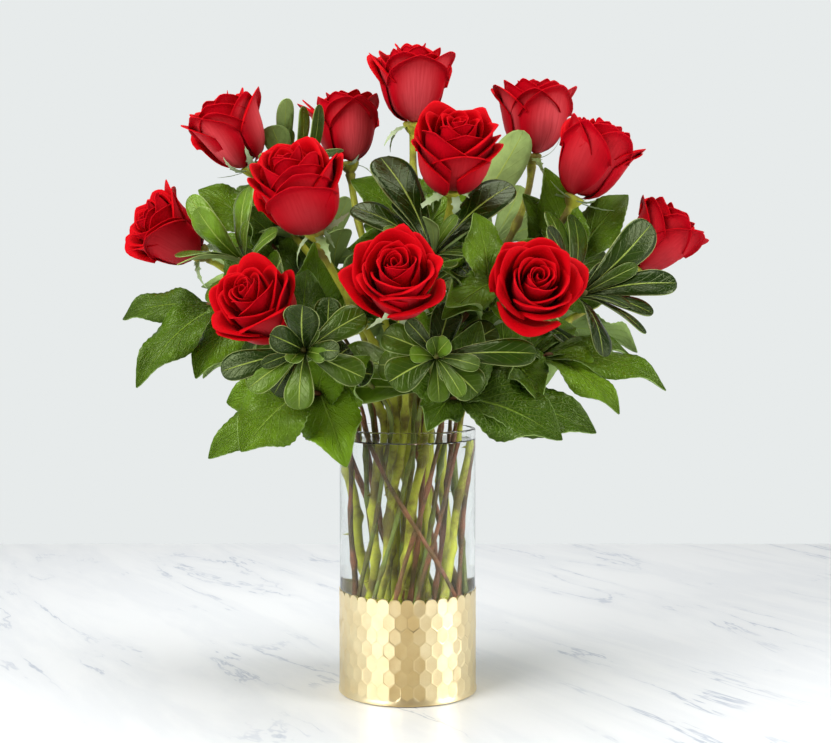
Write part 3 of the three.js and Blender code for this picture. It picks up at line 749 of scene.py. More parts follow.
def leaf_material(name, colour, style):
    """A grown leaf: ribs, veins and rim on an uneven green, with painted shade towards the root.
    """
    material, tree, shader = new_material(name)
    veins = add_node(tree, "Group", style["lines"], node_tree=vein_group()).outputs
    blotches = blotched(tree, size=style["blotch"])
    leaf_age_petal_sheen = add_node(tree, "Attribute", attribute_name="leaf_age_petal_sheen").outputs["Fac"]
    grown = mixed(tree, leaf_age_petal_sheen, colour, tinted(colour, style["young"]))
    shaded = mixed(tree, blotches, grown, tinted(colour, 0.4), share=0.6)
    # Painted shade: the green darkens towards the leaf's root, in the crowded middle of a whorl.
    root = step_mask(tree, veins["Along"], 0.5, 0.0)
    shaded = mixed(tree, root, shaded, tinted(colour, 0.35), share=0.75)
    for line, share in style["shown"].items():
        shaded = mixed(tree, veins[line], shaded, style["vein_colour"], share)
    fine = maths(tree, "ADD", times(tree, veins["Veins"], 0.5), times(tree, veins["Net"], 0.2))
    relief = maths(tree, "ADD", veins["Rib"], fine)
    fill(tree, shader, {
        "Base Color": mixed(tree, veins["Rim"], shaded, style["rim_colour"], style["rim_show"]),
        "Roughness": between(tree, blotches, style["rough"], style["rough"] + 0.14),
        "Normal": bumped(tree, relief, strength=0.8, distance=style["relief"]),
        "Specular IOR Level": style["gloss"],
        "Specular Tint": LEAF_GLOSS,
    })
    return material


def stem_material(name, colour, dark, spots):
    """A green or woody stem with blotches and small pores."""
    material, tree, shader = new_material(name)
    blotches = blotched(tree, size=38.0, low=0.42, high=0.62)
    pores = blotched(tree, size=420.0, low=0.60, high=0.74)
    body = mixed(tree, blotches, colour, dark)
    fill(tree, shader, {
        "Base Color": mixed(tree, pores, body, spots, share=0.5),
        "Roughness": between(tree, blotches, 0.38, 0.58),
        "Normal": bumped(tree, pores, strength=0.5, distance=0.0004),
        "Specular IOR Level": 0.2,
    })
    return material


def clear_material(name, colour, ior, wave):
    """Glass or water: clear to the eye, and open to the lamps so that the stems stay bright."""
    material, tree, shader = new_material(name)
    drawn = blotched(tree, size=22.0, low=0.2, high=0.8)
    fill(tree, shader, {
        "Base Color": colour,
        "Transmission Weight": 1.0,
        "IOR": ior,
        "Specular Tint": CLEAR_GLOSS,
        "Roughness": 0.0,
        "Normal": bumped(tree, drawn, strength=0.3, distance=wave),
    })
    opening = add_node(tree, "BsdfTransparent", {"Color": colour})
    shadow = add_node(tree, "LightPath").outputs["Is Shadow Ray"]
    both = add_node(tree, "MixShader", {0: shadow, 1: shader.outputs[0], 2: opening.outputs[0]})
    fill(tree, tree.nodes["Material Output"], {"Surface": both.outputs[0]})
    return material


def gold_material(name, colour):
    """Champagne gold leaf: soft mirror with cloudy patches and a faint hammered grain."""
    material, tree, shader = new_material(name)
    clouds = blotched(tree, size=70.0)
    warm = tinted(colour, (0.98, 0.94, 0.88))
    fill(tree, shader, {
        "Base Color": mixed(tree, clouds, warm, tinted(colour, 1.04, more=0.01)),
        "Metallic": 1.0,
        "Roughness": between(tree, clouds, 0.28, 0.33),
        "Normal": bumped(tree, blotched(tree, size=900.0), strength=0.05, distance=0.0002),
    })
    return material


def floor_material(name, colour):
    """White marble with faint veins and painted shade towards the front, and a dark card before
    the vase that only mirrors see.
    """
    material, tree, shader = new_material(name)
    spot = add_node(tree, "SeparateXYZ", {0: add_node(tree, "TexCoord").outputs["Object"]}).outputs
    drift = add_node(tree, "CombineXYZ", {
        0: maths(tree, "MULTIPLY_ADD", spot["Y"], 5.0, times(tree, spot["X"], 9.0)),
        1: maths(tree, "SUBTRACT", spot["X"], times(tree, spot["Y"], 1.6)),
    }).outputs[0]
    layers = add_node(
        tree, "TexNoise",
        {"Vector": drift, "Scale": 1.1, "Detail": 6.0, "Roughness": 0.62, "Distortion": 0.4},
    ).outputs["Fac"]
    ridge = maths(tree, "ABSOLUTE", maths(tree, "SUBTRACT", layers, 0.5))
    broken = blotched(tree, size=7.0, low=0.42, high=0.66)
    thin = times(tree, step_mask(tree, ridge, 0.018, 0.0), broken)
    wide = times(tree, step_mask(tree, ridge, 0.12, 0.0), 0.12)
    veins = maths(tree, "MAXIMUM", times(tree, thin, 0.85), wide)
    ahead = times(tree, spot["Y"], -1.0)
    # Painted shade: the floor darkens towards the front, where the lamps light it most.
    even = mixed(tree, step_mask(tree, ahead, 0.05, 0.5), colour, tinted(colour, 0.93))
    aside = maths(tree, "DIVIDE", maths(tree, "ABSOLUTE", spot["X"]), ahead)
    wedge = times(tree, step_mask(tree, aside, 0.48, 0.34), step_mask(tree, ahead, 0.04, 0.06))
    card = times(tree, wedge, add_node(tree, "LightPath").outputs["Is Glossy Ray"])
    fill(tree, shader, {
        "Base Color": mixed(tree, card, mixed(tree, veins, even, VEIN_GREY), CARD_TAN),
        "Roughness": 0.32,
        "Specular IOR Level": 0.35,
    })
    return material


# ---- Vase -------------------------------------------------------------------------------------
class ROSES_OT_vase(bpy.types.Operator):
    """Adds the clear glass cylinder"""

    bl_idname = "roses.add_vase"
    bl_label = "Glass Vase"

    def execute(self, context):
        settings = context.scene.rose_vase
        inner = VASE_RADIUS - GLASS_WALL
        outline = (
            (0, 0), (GLASS_IN_BAND, 0), (GLASS_IN_BAND, BAND_TOP), (VASE_RADIUS, BAND_TOP),
            (VASE_RADIUS, VASE_HEIGHT), (inner, VASE_HEIGHT), (inner, GLASS_BASE),
            (0, GLASS_BASE),
        )
        bm = spin_profile(outline, settings.sides, rounded=(1, 4, 5, 6))
        glass = clear_material("Clear glass", settings.glass_colour, GLASS_IOR, GLASS_WAVE)
        finish_piece("glass_cylinder", bm, [glass], "clear_glass", ["vase_glass"], TURNED_CREASE)
        return {"FINISHED"}


class ROSES_OT_water(bpy.types.Operator):
    """Adds the water, which meets the glass without a layer of air between"""

    bl_idname = "roses.add_water"
    bl_label = "Water"

    def execute(self, context):
        settings = context.scene.rose_vase
        reach = VASE_RADIUS - GLASS_WALL + WATER_LAP
        foot = GLASS_BASE - WATER_LAP
        level = settings.water_level / MM
        climb = [(reach - inward, level + up) for inward, up in WATER_CLIMB]
        bm = spin_profile([(0, foot), (reach, foot), *climb, (0, level)], settings.sides)
        water = clear_material("Vase water", settings.water_colour, WATER_IOR, WATER_WAVE)
        finish_piece("water_in_vase", bm, [water], "water", ["vase_water"], TURNED_CREASE)
        return {"FINISHED"}


def on_facet(flat, middle, tilt):
    """A place on the flat facet that stands against the vase at the middle of its cell."""
    bearing = middle.x * math.pi / BAND_COLUMNS
    aside = (flat.x - middle.x) * BAND_NET_RADIUS * math.pi / BAND_COLUMNS
    up = flat.y - middle.y
    out = on_ring(BAND_FACET_RADIUS + tilt[0] * aside + tilt[1] * up, bearing, flat.y)
    return out + Vector((-math.sin(bearing), math.cos(bearing), 0)) * aside


def on_scallop(place):
    """A place on the band's top edge, lifted on to the round scallop over its cell."""
    bearing = math.atan2(place.y, place.x)
    aside = (bearing * BAND_COLUMNS / math.pi + 1) % 2 - 1
    height = BAND_TOP_ROW + CELL_SIDE / 2 * (1 + math.sqrt(1 - aside * aside))
    return on_ring(BAND_NET_RADIUS, bearing, height)


def rim_ring(bm, edges, radius, height=None):
    """Draws a ring of edges out to a radius, and to a height where one is given."""
    verts, ring, _ = draw_out(bm, edges)
    for vert in verts:
        flat = Vector((vert.co.x, vert.co.y, 0)).normalized() * radius
        vert.co = flat + UP * (vert.co.z if height is None else height)
    return ring


def honeycomb_net():
    """The band's outside: hexagons round the vase, each with a flat, dimpled facet."""
    rng = random.Random(BAND_SEED)
    bm = bmesh.new()
    stretch = Matrix.Diagonal((2 / math.sqrt(3), CELL_SIDE, 1, 1))
    for row in range(BAND_ROWS):
        for column in range(BAND_COLUMNS):
            middle = (2 * column + row % 2, BAND_FIRST_ROW + row * BAND_ROW_PITCH, 0)
            bmesh.ops.create_circle(
                bm, cap_ends=True, radius=1, segments=6,
                matrix=Matrix.Translation(middle) @ stretch,
            )
    cells = list(bm.faces)
    net = set(bm.verts)
    middles = {cell: cell.calc_center_median() for cell in cells}
    tilts = {cell: (rng.gauss(0, FACET_TILT), rng.gauss(0, FACET_TILT)) for cell in cells}
    for share in FACET_SHARES:
        bmesh.ops.inset_individual(bm, faces=cells, thickness=0)
        for cell in cells:
            for vert in cell.verts:
                vert.co = middles[cell].lerp(vert.co, share)
    for cell in cells:
        ring = set(cell.verts) | {
            edge.other_vert(vert) for vert in cell.verts for edge in vert.link_edges
        }
        for vert in ring - net:
            vert.co = on_facet(vert.co, middles[cell], tilts[cell])
    for vert in net:
        vert.co = on_ring(BAND_NET_RADIUS, vert.co.x * math.pi / BAND_COLUMNS, vert.co.y)
    bm.normal_update()
    bmesh.ops.poke(bm, faces=cells, offset=-BAND_DIMPLE)
    bmesh.ops.remove_doubles(bm, verts=bm.verts, dist=0.02)
    return bm


class ROSES_OT_band(bpy.types.Operator):
    """Adds the gold band: a net of dimpled hexagons with a scalloped top and a rolled foot"""

    bl_idname = "roses.add_band"
    bl_label = "Gold Honeycomb Band"

    def execute(self, context):
        settings = context.scene.rose_vase
        bm = honeycomb_net()
        half = (BAND_FIRST_ROW + BAND_TOP_ROW) / 2
        border = [edge for edge in bm.edges if edge.is_boundary]
        bmesh.ops.subdivide_edges(bm, edges=border, cuts=3)
        border = [edge for edge in bm.edges if edge.is_boundary]
        for vert in {vert for edge in border for vert in edge.verts if vert.co.z > half}:
            vert.co = on_scallop(vert.co)
        top = [edge for edge in border if edge.verts[0].co.z > half]
        foot = [edge for edge in border if edge.verts[0].co.z < half]
        for radius, height in FOOT_RINGS:
            foot = rim_ring(bm, foot, radius, height)
        for radius in TOP_RINGS:
            top = rim_ring(bm, top, radius)
        bmesh.ops.bridge_loops(bm, edges=top + foot)
        bmesh.ops.recalc_face_normals(bm, faces=bm.faces)
        gold = gold_material("Champagne gold", settings.gold_colour)
        finish_piece(
            "honeycomb_band", bm, [gold], "champagne_gold", ["vase_gold_band"], BAND_CREASE
        )
        return {"FINISHED"}


# ---- Blooms -----------------------------------------------------------------------------------
def petal_place(petal):
    """The shape of a petal: a cup with a rounded rim, whose lip rolls back beside its point."""
    top, belly, rise = petal["top"], petal["belly"], petal["rise"]
    side = (
        Vector((petal["foot"], 0, rise)),
        Vector((belly * petal["bulge"], 0, rise + (top - rise) * FOOT_RISE)),
        Vector((belly, 0, top * BELLY_RISE)),
        Vector((belly + petal["lip"], 0, top - petal["curl"])),
    )

    def place(u, v):
        rim = 1 - petal["corner"] * abs(u) ** RIM_POWER
        body = min(v / LIP_START, 1) * rim
        lip = max(v - LIP_START, 0) / (1 - LIP_START)
        lean = (on_bezier(side, body + 0.02) - on_bezier(side, body - 0.02)).normalized()
        back = Vector((lean.z, 0, -lean.x))
        beside = min(abs(u) / POINT_REACH, 1)
        roll = petal["roll"] * (petal["point"] + (1 - petal["point"]) * beside**1.5)
        peak = petal["peak"] * math.exp(-((u / PEAK_WIDTH) ** 2))
        radius = (petal["lip_length"] * (1 - 0.5 * u * u) + peak) / roll
        turn = roll * lip
        point = on_bezier(side, body)
        point = point + lean * radius * math.sin(turn) + back * radius * (1 - math.cos(turn))
        spread = petal["span"] * math.sin(SPREAD_TURN * max(body, 0.001) ** SPREAD_POWER)
        angle = petal["bearing"] + u * spread
        waves = math.sin(u * 3.6 + petal["phase"]) + 0.6 * math.sin(u * 8.5 + 2 * petal["phase"])
        ripple = petal["ripple"] * waves * v**3
        reach = point.x + petal["tuck"] * u * body + ripple
        height = point.z + 0.6 * ripple + petal["slant"] * u * body
        return on_ring(reach, angle, height)

    return place


PETAL_COLUMNS = (
    "count", "turn", "across", "span", "rise", "top", "belly", "lip", "curl", "tuck",
    "corner", "lip_length", "roll", "point", "foot", "bulge", "loose",
)


def petal_layers(size, opened, bearing, pale, rng):
    """The petals of a bloom, from its coiled centre out to the guard petals."""
    wide = opened > WIDE_OPEN
    flare = 2.8 + 1.6 * opened if wide else 8 * opened
    bulge = 1.16 if wide else 1.1
    outer, guard = (47, 41) if wide else (50, 48.5)
    layers = (
        (1, 2.0, 26, 2.7, 30, 51.5, 3.2, -0.8, 0, 1.5, 0.10, 0.8, 0.4, 1, 1, 1.15, 0),
        (1, 0.0, 26, 2.8, 28, 52.5, 5.0, -0.8, 0, 1.6, 0.10, 0.9, 0.5, 1, 1, 1.15, 0),
        (2, 1.1, 18, 1.9, 24, 53.2, 6.8, -0.6, 0, 1.7, 0.12, 1.2, 0.8, 1, 1, 1.15, 0.10),
        (3, 2.2, 14, 1.4, 20, 53.6, 8.8, -0.2, 0, 1.9, 0.15, 1.6, 1.1, 1, 1, 1.15, 0.12),
        (3, 3.1, 14, 1.3, 17, 53.0, 11.2, 0.6, 0, 2.1, 0.20, 2.2, 1.4, 0.8, 1, 1.2, 0.15),
        (3, 4.0, 16, 1.25, 12, 52.0, 13.5 + 1.5 * opened, 1 + opened, 0.5, 2.4, 0.26, 3.2, 1.5,
         0.6, 2, 1.25, 0.18),
        (3, 5.2, 16, 1.25, 8, 50.5, 16.5 + 2 * opened, 1.5 + 1.5 * opened, 1, 2.4, 0.30, 4.5,
         1.6, 0.45, 2, 1.25, 0.2),
        (5, 5.8, 16, 0.92, 4, outer, 18.5 + opened, flare + 1, 2, 2.4, 0.34, 6.5, 1.6, 0.35,
         3, bulge, 0.2),
        (3, 6.9, 16, 1.0, 1.5, guard, 20 + 1.5 * opened, flare + 1.5, 2.5, 2.2, 0.38, 7.5, 1.7,
         0.3, 3, bulge + 0.06, 0.25),
    )
    petals = []
    for row in layers:
        layer = dict(zip(PETAL_COLUMNS, row))
        loose = layer["loose"]
        for i in range(layer["count"]):
            petals.append(layer | {
                "bearing": bearing + layer["turn"] + i * 2 * math.pi / layer["count"]
                + rng.uniform(-loose, loose),
                "span": layer["span"] * rng.uniform(0.92, 1.1),
                "top": (layer["top"] + 12 * rng.uniform(-loose, 0.6 * loose)) * size
                - layer["lip_length"] * 0.6,
                "belly": layer["belly"] * size * rng.uniform(1 - 0.15 * loose, 1 + 0.2 * loose),
                "lip": layer["lip"] + 8 * rng.uniform(-loose, loose),
                "roll": layer["roll"] * rng.uniform(1 - 1.4 * loose, 1 + loose),
                "point": layer["point"] * rng.uniform(0.5, 1.2),
                "slant": 14 * rng.uniform(-loose, loose),
                "ripple": 0.2 * loose * layer["belly"],
                "phase": rng.uniform(0, 6.3),
                "peak": rng.uniform(0.2, 1) * 9 * loose,
                # The share of painted sheen on the back of an outer petal.
                "leaf_age_petal_sheen": rng.uniform(0.8, 1) * pale * (layer["rise"] < OUTER_RISE),
            })
    return petals


def bloom_pose(at, faces, size):
    """The place and turn of a bloom, whose foot is the origin of its petals."""
    axis = Vector(faces).normalized()
    return Matrix.Translation(Vector(at) - axis * BLOOM_HEIGHT * size / 2) @ turned_to(axis)


class ROSES_OT_blooms(bpy.types.Operator):
    """Adds the petals of the twelve blooms"""

    bl_idname = "roses.add_blooms"
    bl_label = "Blooms"

    def execute(self, context):
        settings = context.scene.rose_blooms
        outside = petal_material("Petal back", settings.petal_back_colour, back=True)
        inside = petal_material("Petal velvet", settings.petal_colour, back=False)
        for index, (name, (at, faces, size, opened, _)) in enumerate(ROSES.items()):
            rng = random.Random(settings.seed + index)
            bm = new_sheet_mesh()
            # The high blooms, which the main light reaches, get the full painted sheen on their
            # petal backs.
            pale = 1 if at[2] > SHEEN_PAINT_HEIGHT else LOW_BLOOM_SHEEN_SHARE
            for petal in petal_layers(size, opened, index * BLOOM_TURN, pale, rng):
                add_blade(bm, petal_place(petal), petal["across"], PETAL_ROWS, petal["leaf_age_petal_sheen"])
            bmesh.ops.transform(bm, matrix=bloom_pose(at, faces, size), verts=bm.verts)
            petals = finish_piece(
                f"{name}_petals", bm, [outside, inside], "rose_petal", [f"rose_{name}_bloom"]
            )
            add_thickness(petals, settings.petal_thickness)
        return {"FINISHED"}


# ---- Rose stems -------------------------------------------------------------------------------
def sepal_place(index, rng):
    """A narrow, fringed sepal with a thread at its tip, that clasps the petals or hangs."""
    bearing = index * 2 * math.pi / SEPALS + rng.uniform(-0.2, 0.2)
    outward = on_ring(1, bearing, 0)
    across = UP.cross(outward)
    length = rng.uniform(*SEPAL_LENGTH)
    sway = rng.uniform(-SEPAL_SWAY, SEPAL_SWAY)
    twist = rng.uniform(-SEPAL_TWIST, SEPAL_TWIST)
    bend = rng.choice(SEPAL_BENDS)
    start = 0.12 * bend - 0.05
    teeth = rng.uniform(*SEPAL_TEETH)

    def place(u, v):
        fringe = 1 + SEPAL_FRINGE * max(0, math.sin(v * teeth)) ** 3 * math.sin(math.pi * v)
        width = (SEPAL_WIDTH * (1 - v) ** 0.95 * min(1, 0.5 + 3 * v) + 0.3) * fringe
        turn = start + bend * v
        reach = SEPAL_ROOT + length / bend * (math.sin(turn) - math.sin(start))
        height = -0.6 + length / bend * (math.cos(start) - math.cos(turn))
        point = outward * reach + across * (sway * v * v - u * width)
        return point + UP * (height + u * width * twist * v - 0.7 * (1 - u * u) * (1 - v))

    return place


def knuckled_radii(points, radius, rng):
    """The thickness along a stem, with a slight knuckle where each leaf once grew."""
    radii = []
    spacing = rng.uniform(*KNUCKLE_SPACING)
    start = rng.uniform(0, spacing)
    run = 0
    for before, point in zip([points[0], *points], points):
        run += (point - before).length
        near = abs((run + start) % spacing - spacing / 2)
        swell = KNUCKLE_SWELL * math.exp(-((near / KNUCKLE_REACH) ** 2))
        radii.append(radius * (1 + swell + rng.uniform(-0.02, 0.02)))
    return radii


def add_thorns(bm, points, radii, rng):
    """Thorns that point outwards and a little down, between the foot and the head of a stem."""
    for i in range(6, len(points) - 6, THORN_SPACING):
        if rng.random() < BARE_SHARE:
            continue
        along = (points[i + 1] - points[i]).normalized()
        turn = rng.uniform(0, 2 * math.pi)
        out = along.orthogonal().normalized()
        out = (Matrix.Rotation(turn, 3, along) @ out - along * 0.35).normalized()
        root = points[i] + out * radii[i] * 0.6
        bmesh.ops.create_cone(
            bm, cap_ends=True, cap_tris=True, segments=6, radius1=THORN_RADIUS, radius2=0.1,
            depth=THORN_LENGTH,
            matrix=Matrix.Translation(root + out * (THORN_LENGTH / 2)) @ turned_to(out),
        )


class ROSES_OT_rose_stems(bpy.types.Operator):
    """Adds the rose stems with their thorns, calyces and sepals"""

    bl_idname = "roses.add_rose_stems"
    bl_label = "Rose Stems"

    def execute(self, context):
        settings = context.scene.rose_blooms
        stem = stem_material(
            "Rose stem", settings.stem_colour, (0.16, 0.13, 0.025, 1), (0.20, 0.07, 0.03, 1)
        )
        pale = stem_material(
            "Sepal inside", (0.42, 0.52, 0.30, 1), (0.26, 0.38, 0.13, 1), (0.55, 0.62, 0.45, 1)
        )
        for index, (name, (at, faces, size, _, neck)) in enumerate(ROSES.items()):
            rng = random.Random(settings.seed + STEM_SEED + index)
            pose = bloom_pose(at, faces, size)
            below, bend = stem_curves(neck, pose @ (UP * -CALYX_HEIGHT), pose.to_3x3() @ UP)
            points = stem_points(below, bend, ROSE_RISE_STEPS, ROSE_STEM_WOBBLE, rng)
            radii = knuckled_radii(points, ROSE_STEM_RADIUS, rng)
            bm = new_sheet_mesh()
            add_thorns(bm, points, radii, rng)
            points += [pose @ (UP * height) for height, _ in CALYX]
            radii += [radius for _, radius in CALYX]
            add_rod(bm, points, radii, ROSE_STEM_SIDES)
            start = len(bm.verts)
            for i in range(SEPALS):
                add_blade(bm, sepal_place(i, rng), *SEPAL_GRID, rng.random(), material=1)
            bmesh.ops.transform(bm, matrix=pose, verts=bm.verts[start:])
            stalk = finish_piece(
                f"{name}_rose_stalk", bm, [stem, pale], "rose_stem", [f"rose_{name}_stem"]
            )
            stalk.modifiers.new("Even", "WEIGHTED_NORMAL")
        return {"FINISHED"}


# ---- Foliage ----------------------------------------------------------------------------------
def pittosporum_width(v):
    """Rounded near the tip and narrow at the root."""
    return 1.45 * v**0.95 * (1 - v**5) ** 0.5


def salal_width(v):
    """Broad near the root and drawn out to a point, with small teeth."""
    teeth = 1 + 0.045 * (1 - 2 * abs((v * 15) % 1 - 0.5))
    return max(math.sin(math.pi * v**0.8), 0) ** 0.85 * teeth


LEAF_SHAPES = {
    "pittosporum": {
        "width": pittosporum_width, "rows": 16, "crowding": 1.7, "fold": 0.14, "arch": 0.10,
        "wave": 0.05, "rolled": 0.10, "length": 1, "breadth": 0.44, "seed": 200,
    },
    "salal": {
        "width": salal_width, "rows": 30, "crowding": 1.0, "fold": 0.26, "arch": 0.14,
        "wave": 0.26, "rolled": 0.0, "length": 1.15, "breadth": 0.6, "seed": 300,
    },
}


def leaf_place(shape, root, tip, width, facing, phase):
    """The shape of a leaf from its root to its tip, its upper side towards facing."""
    along = tip - root
    length = along.length
    along.normalize()
    up = (facing - along * facing.dot(along)).normalized()
    across = along.cross(up)

    def place(u, v):
        v = 1 - (1 - v) ** shape["crowding"]
        half = width / 2 * shape["width"](v) + 0.35
        lift = shape["arch"] * length * math.sin(math.pi * v) + shape["fold"] * half * abs(u)
        wave = shape["wave"] * width * math.sin(v * 9 + phase) * u * u * math.sin(math.pi * v)
        rolled = shape["rolled"] * half * u**4
        return root + along * v * length + across * u * half + up * (lift + wave - rolled)

    return place


def young_leaves(tip, looks, leaves, rng):
    """Small leaves between the big ones of a whorl, nearer to its bud."""
    ring = [Vector(leaf[:3]) for leaf in leaves if len(leaf) == 4]
    young = []
    for one, other in zip(ring[::2], ring[1::2]):
        reach = (one + other) / 2 - tip
        end = tip + reach * rng.uniform(*YOUNG_REACH) + looks * rng.uniform(*YOUNG_LIFT)
        young.append((*end, rng.uniform(*YOUNG_WIDTH)))
    return young


def hides_bloom(place):
    """Whether a place is inside a bloom or between it and the front."""
    for at, *_ in ROSES.values():
        away = place - Vector(at)
        if away.length < BLOOM_ROOM or (away.y < 0 and away.xz.length < BLOOM_ROOM):
            return True
    return False


def stem_leaves(bend, shape, rng):
    """Leaves along the rise of a stem, where they neither touch nor hide a bloom."""
    grown = []
    for i, share in enumerate(STEM_LEAF_SHARES):
        root = on_bezier(bend, share)
        ahead = (on_bezier(bend, share + 0.02) - root).normalized()
        aside = Matrix.Rotation(i * GOLDEN_TURN + rng.uniform(-0.4, 0.4), 3, ahead)
        way = (aside @ ahead.orthogonal().normalized() + ahead * STEM_LEAF_LEAN).normalized()
        length = rng.uniform(*STEM_LEAF_LENGTH) * shape["length"]
        tip = root + way * length
        low = min(root.z, tip.z) < STEM_LEAF_LOWEST
        far = tip.xy.length > STEM_LEAF_REACH or tip.y < -STEM_LEAF_FRONT
        if low or far or any(hides_bloom(root.lerp(tip, part)) for part in (0.5, 0.75, 1)):
            continue
        grown.append((*tip, length * shape["breadth"], share))
    return grown


def add_sprig(name, kind, sprig, materials, rng, thickness):
    """One sprig: its stem, its leaves and the bud between them."""
    neck, tip, looks, face, youth, leaves = sprig
    shape = LEAF_SHAPES[kind]
    tip = Vector(tip)
    looks = Vector(looks).normalized()
    facing = Vector(face) if face else looks
    below, bend = stem_curves(neck, tip, looks, crossing=(kind, name) == ("salal", "low_left"))
    points = stem_points(below, bend, SPRIG_RISE_STEPS, SPRIG_STEM_WOBBLE, rng)
    radii = knuckled_radii(points, SPRIG_STEM_RADIUS, rng)
    for place, share in enumerate(SPRIG_TAPER, len(radii) - len(SPRIG_TAPER)):
        radii[place] *= share
    grown = list(leaves)
    if kind == "pittosporum":
        grown += young_leaves(tip, looks, leaves, rng)
    grown += stem_leaves(bend, shape, rng)
    bm = new_sheet_mesh()
    for x, y, z, width, *share in grown:
        root = on_bezier(bend, share[0] if share else LEAF_ROOT_SHARE)
        upper = facing * math.copysign(1, width)
        end = Vector((x, y, z))
        place = leaf_place(shape, root, end, abs(width), upper, rng.uniform(-0.6, 0.6))
        leaf_age_petal_sheen = min(1, max(0, youth + rng.uniform(-0.3, 0.5)))
        add_blade(bm, place, LEAF_ACROSS, shape["rows"], leaf_age_petal_sheen)
    pieces = (f"{kind}_leaf", [f"{kind}_{name}"])
    sheets = finish_piece(f"{kind}_{name}_leaves", bm, materials[:2], *pieces)
    add_thickness(sheets, thickness)
    bm = bmesh.new()
    add_rod(bm, points, radii, SPRIG_STEM_SIDES)
    bud = Matrix.Translation(tip + looks * BUD_LIFT) @ turned_to(looks)
    bmesh.ops.create_uvsphere(
        bm, u_segments=10, v_segments=6, radius=1.0, matrix=bud @ Matrix.Diagonal((*BUD_SIZE, 1))
    )
    finish_piece(f"{kind}_{name}_twig", bm, materials[2:], *pieces)


def add_sprigs(kind, sprigs, materials, thickness):
    """All sprigs of a kind, each with its own small differences."""
    for seed, (name, sprig) in enumerate(sprigs.items(), LEAF_SHAPES[kind]["seed"]):
        add_sprig(name, kind, sprig, materials, random.Random(seed), thickness)


PITTOSPORUM_STYLE = {
    "lines": {
        "Side veins": 8.0, "Slant": 2.2, "Rib width": 0.085, "Rim width": 0.07, "Net size": 22.0,
    },
    "shown": {"Net": 0.0, "Veins": 0.07, "Rib": 0.85}, "vein_colour": (0.36, 0.46, 0.08, 1),
    "rim_show": 0.7, "rim_colour": (0.42, 0.48, 0.17, 1), "blotch": 40.0,
    "young": (20, 13.0, 17), "rough": 0.16, "relief": 0.0004, "gloss": 0.40,
}
SALAL_STYLE = {
    "lines": {
        "Side veins": 7.0, "Slant": 3.4, "Rib width": 0.06, "Rim width": 0.02, "Net size": 34.0,
    },
    "shown": {"Net": 0.14, "Veins": 0.32, "Rib": 0.8}, "vein_colour": (0.24, 0.38, 0.04, 1),
    "rim_show": 0.2, "rim_colour": (0.20, 0.28, 0.07, 1), "blotch": 26.0,
    "young": (5.0, 4.0, 4.6), "rough": 0.20, "relief": 0.0016, "gloss": 0.34,
}
UNDERSIDE = {"young": (1.1, 1.1, 1.1), "rough": 0.5, "gloss": 0.12, "rim_show": 0.1}


class ROSES_OT_pittosporum(bpy.types.Operator):
    """Adds the eight pittosporum sprigs"""

    bl_idname = "roses.add_pittosporum"
    bl_label = "Pittosporum"

    def execute(self, context):
        settings = context.scene.rose_foliage
        below = PITTOSPORUM_STYLE | UNDERSIDE
        materials = (
            leaf_material("Pittosporum leaf", settings.pittosporum_colour, PITTOSPORUM_STYLE),
            leaf_material("Pittosporum underside", (0.30, 0.42, 0.13, 1), below),
            stem_material(
                "Pittosporum twig", (0.15, 0.19, 0.035, 1), (0.10, 0.075, 0.02, 1),
                (0.30, 0.26, 0.10, 1),
            ),
        )
        add_sprigs("pittosporum", PITTOSPORUM, materials, settings.leaf_thickness)
        return {"FINISHED"}


class ROSES_OT_salal(bpy.types.Operator):
    """Adds the eleven salal sprigs"""

    bl_idname = "roses.add_salal"
    bl_label = "Salal"

    def execute(self, context):
        settings = context.scene.rose_foliage
        materials = (
            leaf_material("Salal leaf", settings.salal_colour, SALAL_STYLE),
            leaf_material("Salal underside", (0.27, 0.39, 0.12, 1), SALAL_STYLE | UNDERSIDE),
            stem_material(
                "Salal twig", settings.twig_colour, (0.085, 0.06, 0.02, 1), (0.32, 0.20, 0.12, 1)
            ),
        )
        add_sprigs("salal", SALAL, materials, settings.leaf_thickness)
        return {"FINISHED"}


# ---- Stage, in metres -------------------------------------------------------------------------
FLOOR_FRONT = -2.5
FLOOR_HALF_WIDTH = 2.5
STUDIO_DIM = (0.18, 0.15, 0.11, 1)
STUDIO_WALLS = 0.48
STUDIO_CEILING = 0.12
STUDIO_GLOSS = 1.5
LIGHTS_AIM = (0, 0, 0.28)
# Each softbox: its share of the main power, its width and height, and its place.
SOFTBOXES = {
    "Softbox left": (1, (1.2, 1.5), (-1.25, -1.1, 1.15)),
    "Softbox right": (0.5, (0.7, 1.3), (1.5, -0.6, 0.8)),
    "Softbox top": (0.45, (1.2, 1.2), (0.05, 0.0, 1.7)),
}
SENSOR_WIDTH = 36
CAMERA_PLACE = (0.006, -1.011, 0.280)
CAMERA_TILT = math.radians(90 - 2.123)


def add_softbox(name, power, size, at):
    """A rectangular lamp that looks at the bouquet."""
    lamp = bpy.data.lights.new(name, "AREA")
    lamp.energy = power
    lamp.shape = "RECTANGLE"
    lamp.size, lamp.size_y = size
    holder = bpy.data.objects.new(name, lamp)
    holder.location = at
    holder.rotation_euler = (Vector(LIGHTS_AIM) - Vector(at)).to_track_quat("-Z", "Y").to_euler()
    bpy.context.scene.collection.objects.link(holder)


